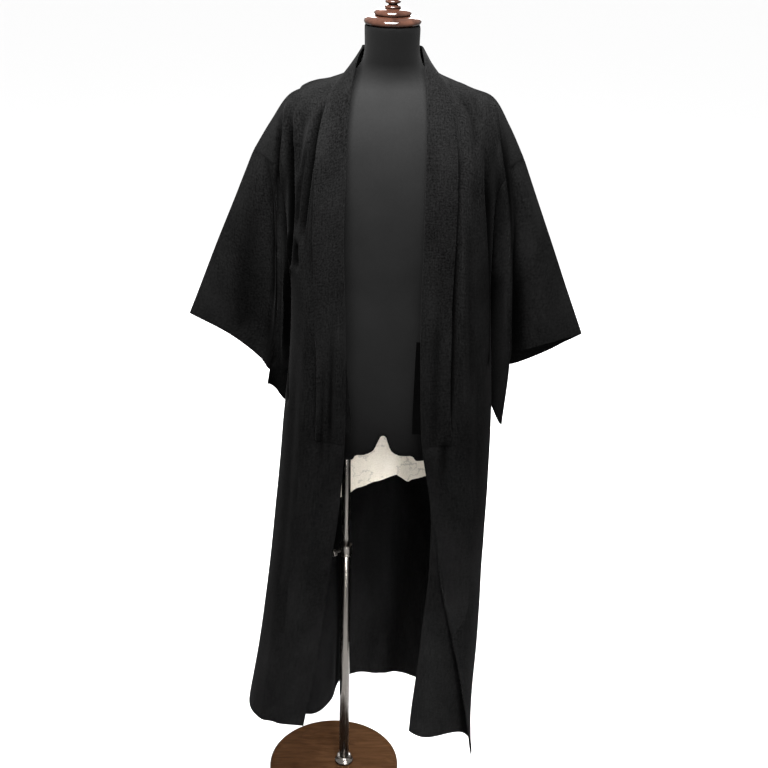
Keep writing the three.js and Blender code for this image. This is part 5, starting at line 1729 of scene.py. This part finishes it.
@dataclass
class Studio:
    """The pale floor, the soft lights and the camera."""

    eye: Point = (0.098, -2.41, 2.054)
    pitch: float = math.radians(24)
    roll: float = 0.021
    lens: float = 60.94
    sensor: float = 36.0
    floor_reach: float = 30.0
    world: float = 1.5
    lights: tuple[tuple[str, Point, Point, float, float, float], ...] = (
        # name, place, what it looks at, size, power, spread in degrees
        ("key", (0.02, -0.5, 2.38), (0.1, 0.0, 1.4), 0.6, 185.0, 180.0),
        ("fill", (0.95, -3.3, 1.1), (0.16, 0.0, 0.19), 0.5, 5.2, 18.0),
        ("back", (0.3, 2.6, 2.3), (0.1, 0.0, 0.9), 1.5, 260.0, 180.0),
    )

    def build_room(self) -> None:
        """Makes the floor and the white world."""
        r = self.floor_reach
        corners = np.array([(-r, -r, 0), (r, -r, 0), (r, r, 0), (-r, r, 0)])
        floor = new_object("floor", corners, [(0, 1, 2, 3)])
        floor.data.materials.append(PlainFinish().build())
        world = bpy.data.worlds.new("studio")
        world.use_nodes = True
        background = world.node_tree.nodes["Background"]
        background.inputs["Color"].default_value = (1, 1, 1, 1)
        background.inputs["Strength"].default_value = self.world
        bpy.context.scene.world = world

    def build_lights(self) -> None:
        """Makes the soft lights."""
        for name, place, target, size, power, spread in self.lights:
            light = bpy.data.lights.new(name, "AREA")
            light.shape, light.size, light.energy = "SQUARE", size, power
            light.spread = math.radians(spread)
            lamp = bpy.data.objects.new(name, light)
            lamp.location = place
            lamp.rotation_euler = (Vector(target) - Vector(place)).to_track_quat("-Z", "Y").to_euler()
            bpy.context.scene.collection.objects.link(lamp)

    def build_camera(self) -> None:
        """Makes the camera, which looks slightly down."""
        data = bpy.data.cameras.new("camera")
        data.sensor_width, data.lens = self.sensor, self.lens
        camera = bpy.data.objects.new("camera", data)
        turn = Matrix.Rotation(QUARTER - self.pitch, 4, "X") @ Matrix.Rotation(self.roll, 4, "Z")
        camera.matrix_world = Matrix.Translation(self.eye) @ turn
        bpy.context.scene.collection.objects.link(camera)
        bpy.context.scene.camera = camera

    def build(self) -> None:
        """Makes the whole studio."""
        self.build_room()
        self.build_lights()
        self.build_camera()
        bpy.context.scene.view_settings.view_transform = "Standard"


# ------------------------ whole


BLACK_COTTON = WovenFinish(
    "black_cotton", (0.0006, 0.0006, 0.0006), (0.0039, 0.0039, 0.0039),
    sheen=0.008, sheen_tint=(0.8, 0.8, 0.8),
)
CREAM_COTTON = WovenFinish(
    "cream_cotton", (0.68, 0.625, 0.53), (0.82, 0.765, 0.67),
    sheen=0.05, sheen_tint=(1, 1, 1), wrinkle_painted_shade=0.35,
)
CAP_WOOD = WoodFinish(
    "gloss_cap_wood", (0.005, 0.0021, 0.0014), (0.019, 0.008, 0.005),
    roughness=0.3, coat=0.28, coat_roughness=0.05, grain=(30, 30, 8),
)
BASE_WOOD = WoodFinish(
    "satin_base_wood", (0.013, 0.0061, 0.0028), (0.034, 0.0165, 0.0076),
    roughness=0.55, coat=0.0, coat_roughness=0.25,
)


def main() -> None:
    """Loads the frame, builds the form, the stand and the garment."""
    logging.basicConfig(level=logging.INFO, format="%(name)s: %(message)s")
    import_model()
    Studio().build()
    form = DressForm()
    form.build(JerseyFinish().build(), CAP_WOOD.build())
    Stand().build(ChromeFinish().build(), BASE_WOOD.build())
    Garment(form).build(BLACK_COTTON.build(), CREAM_COTTON.build())


if __name__ == "__main__":
    main()
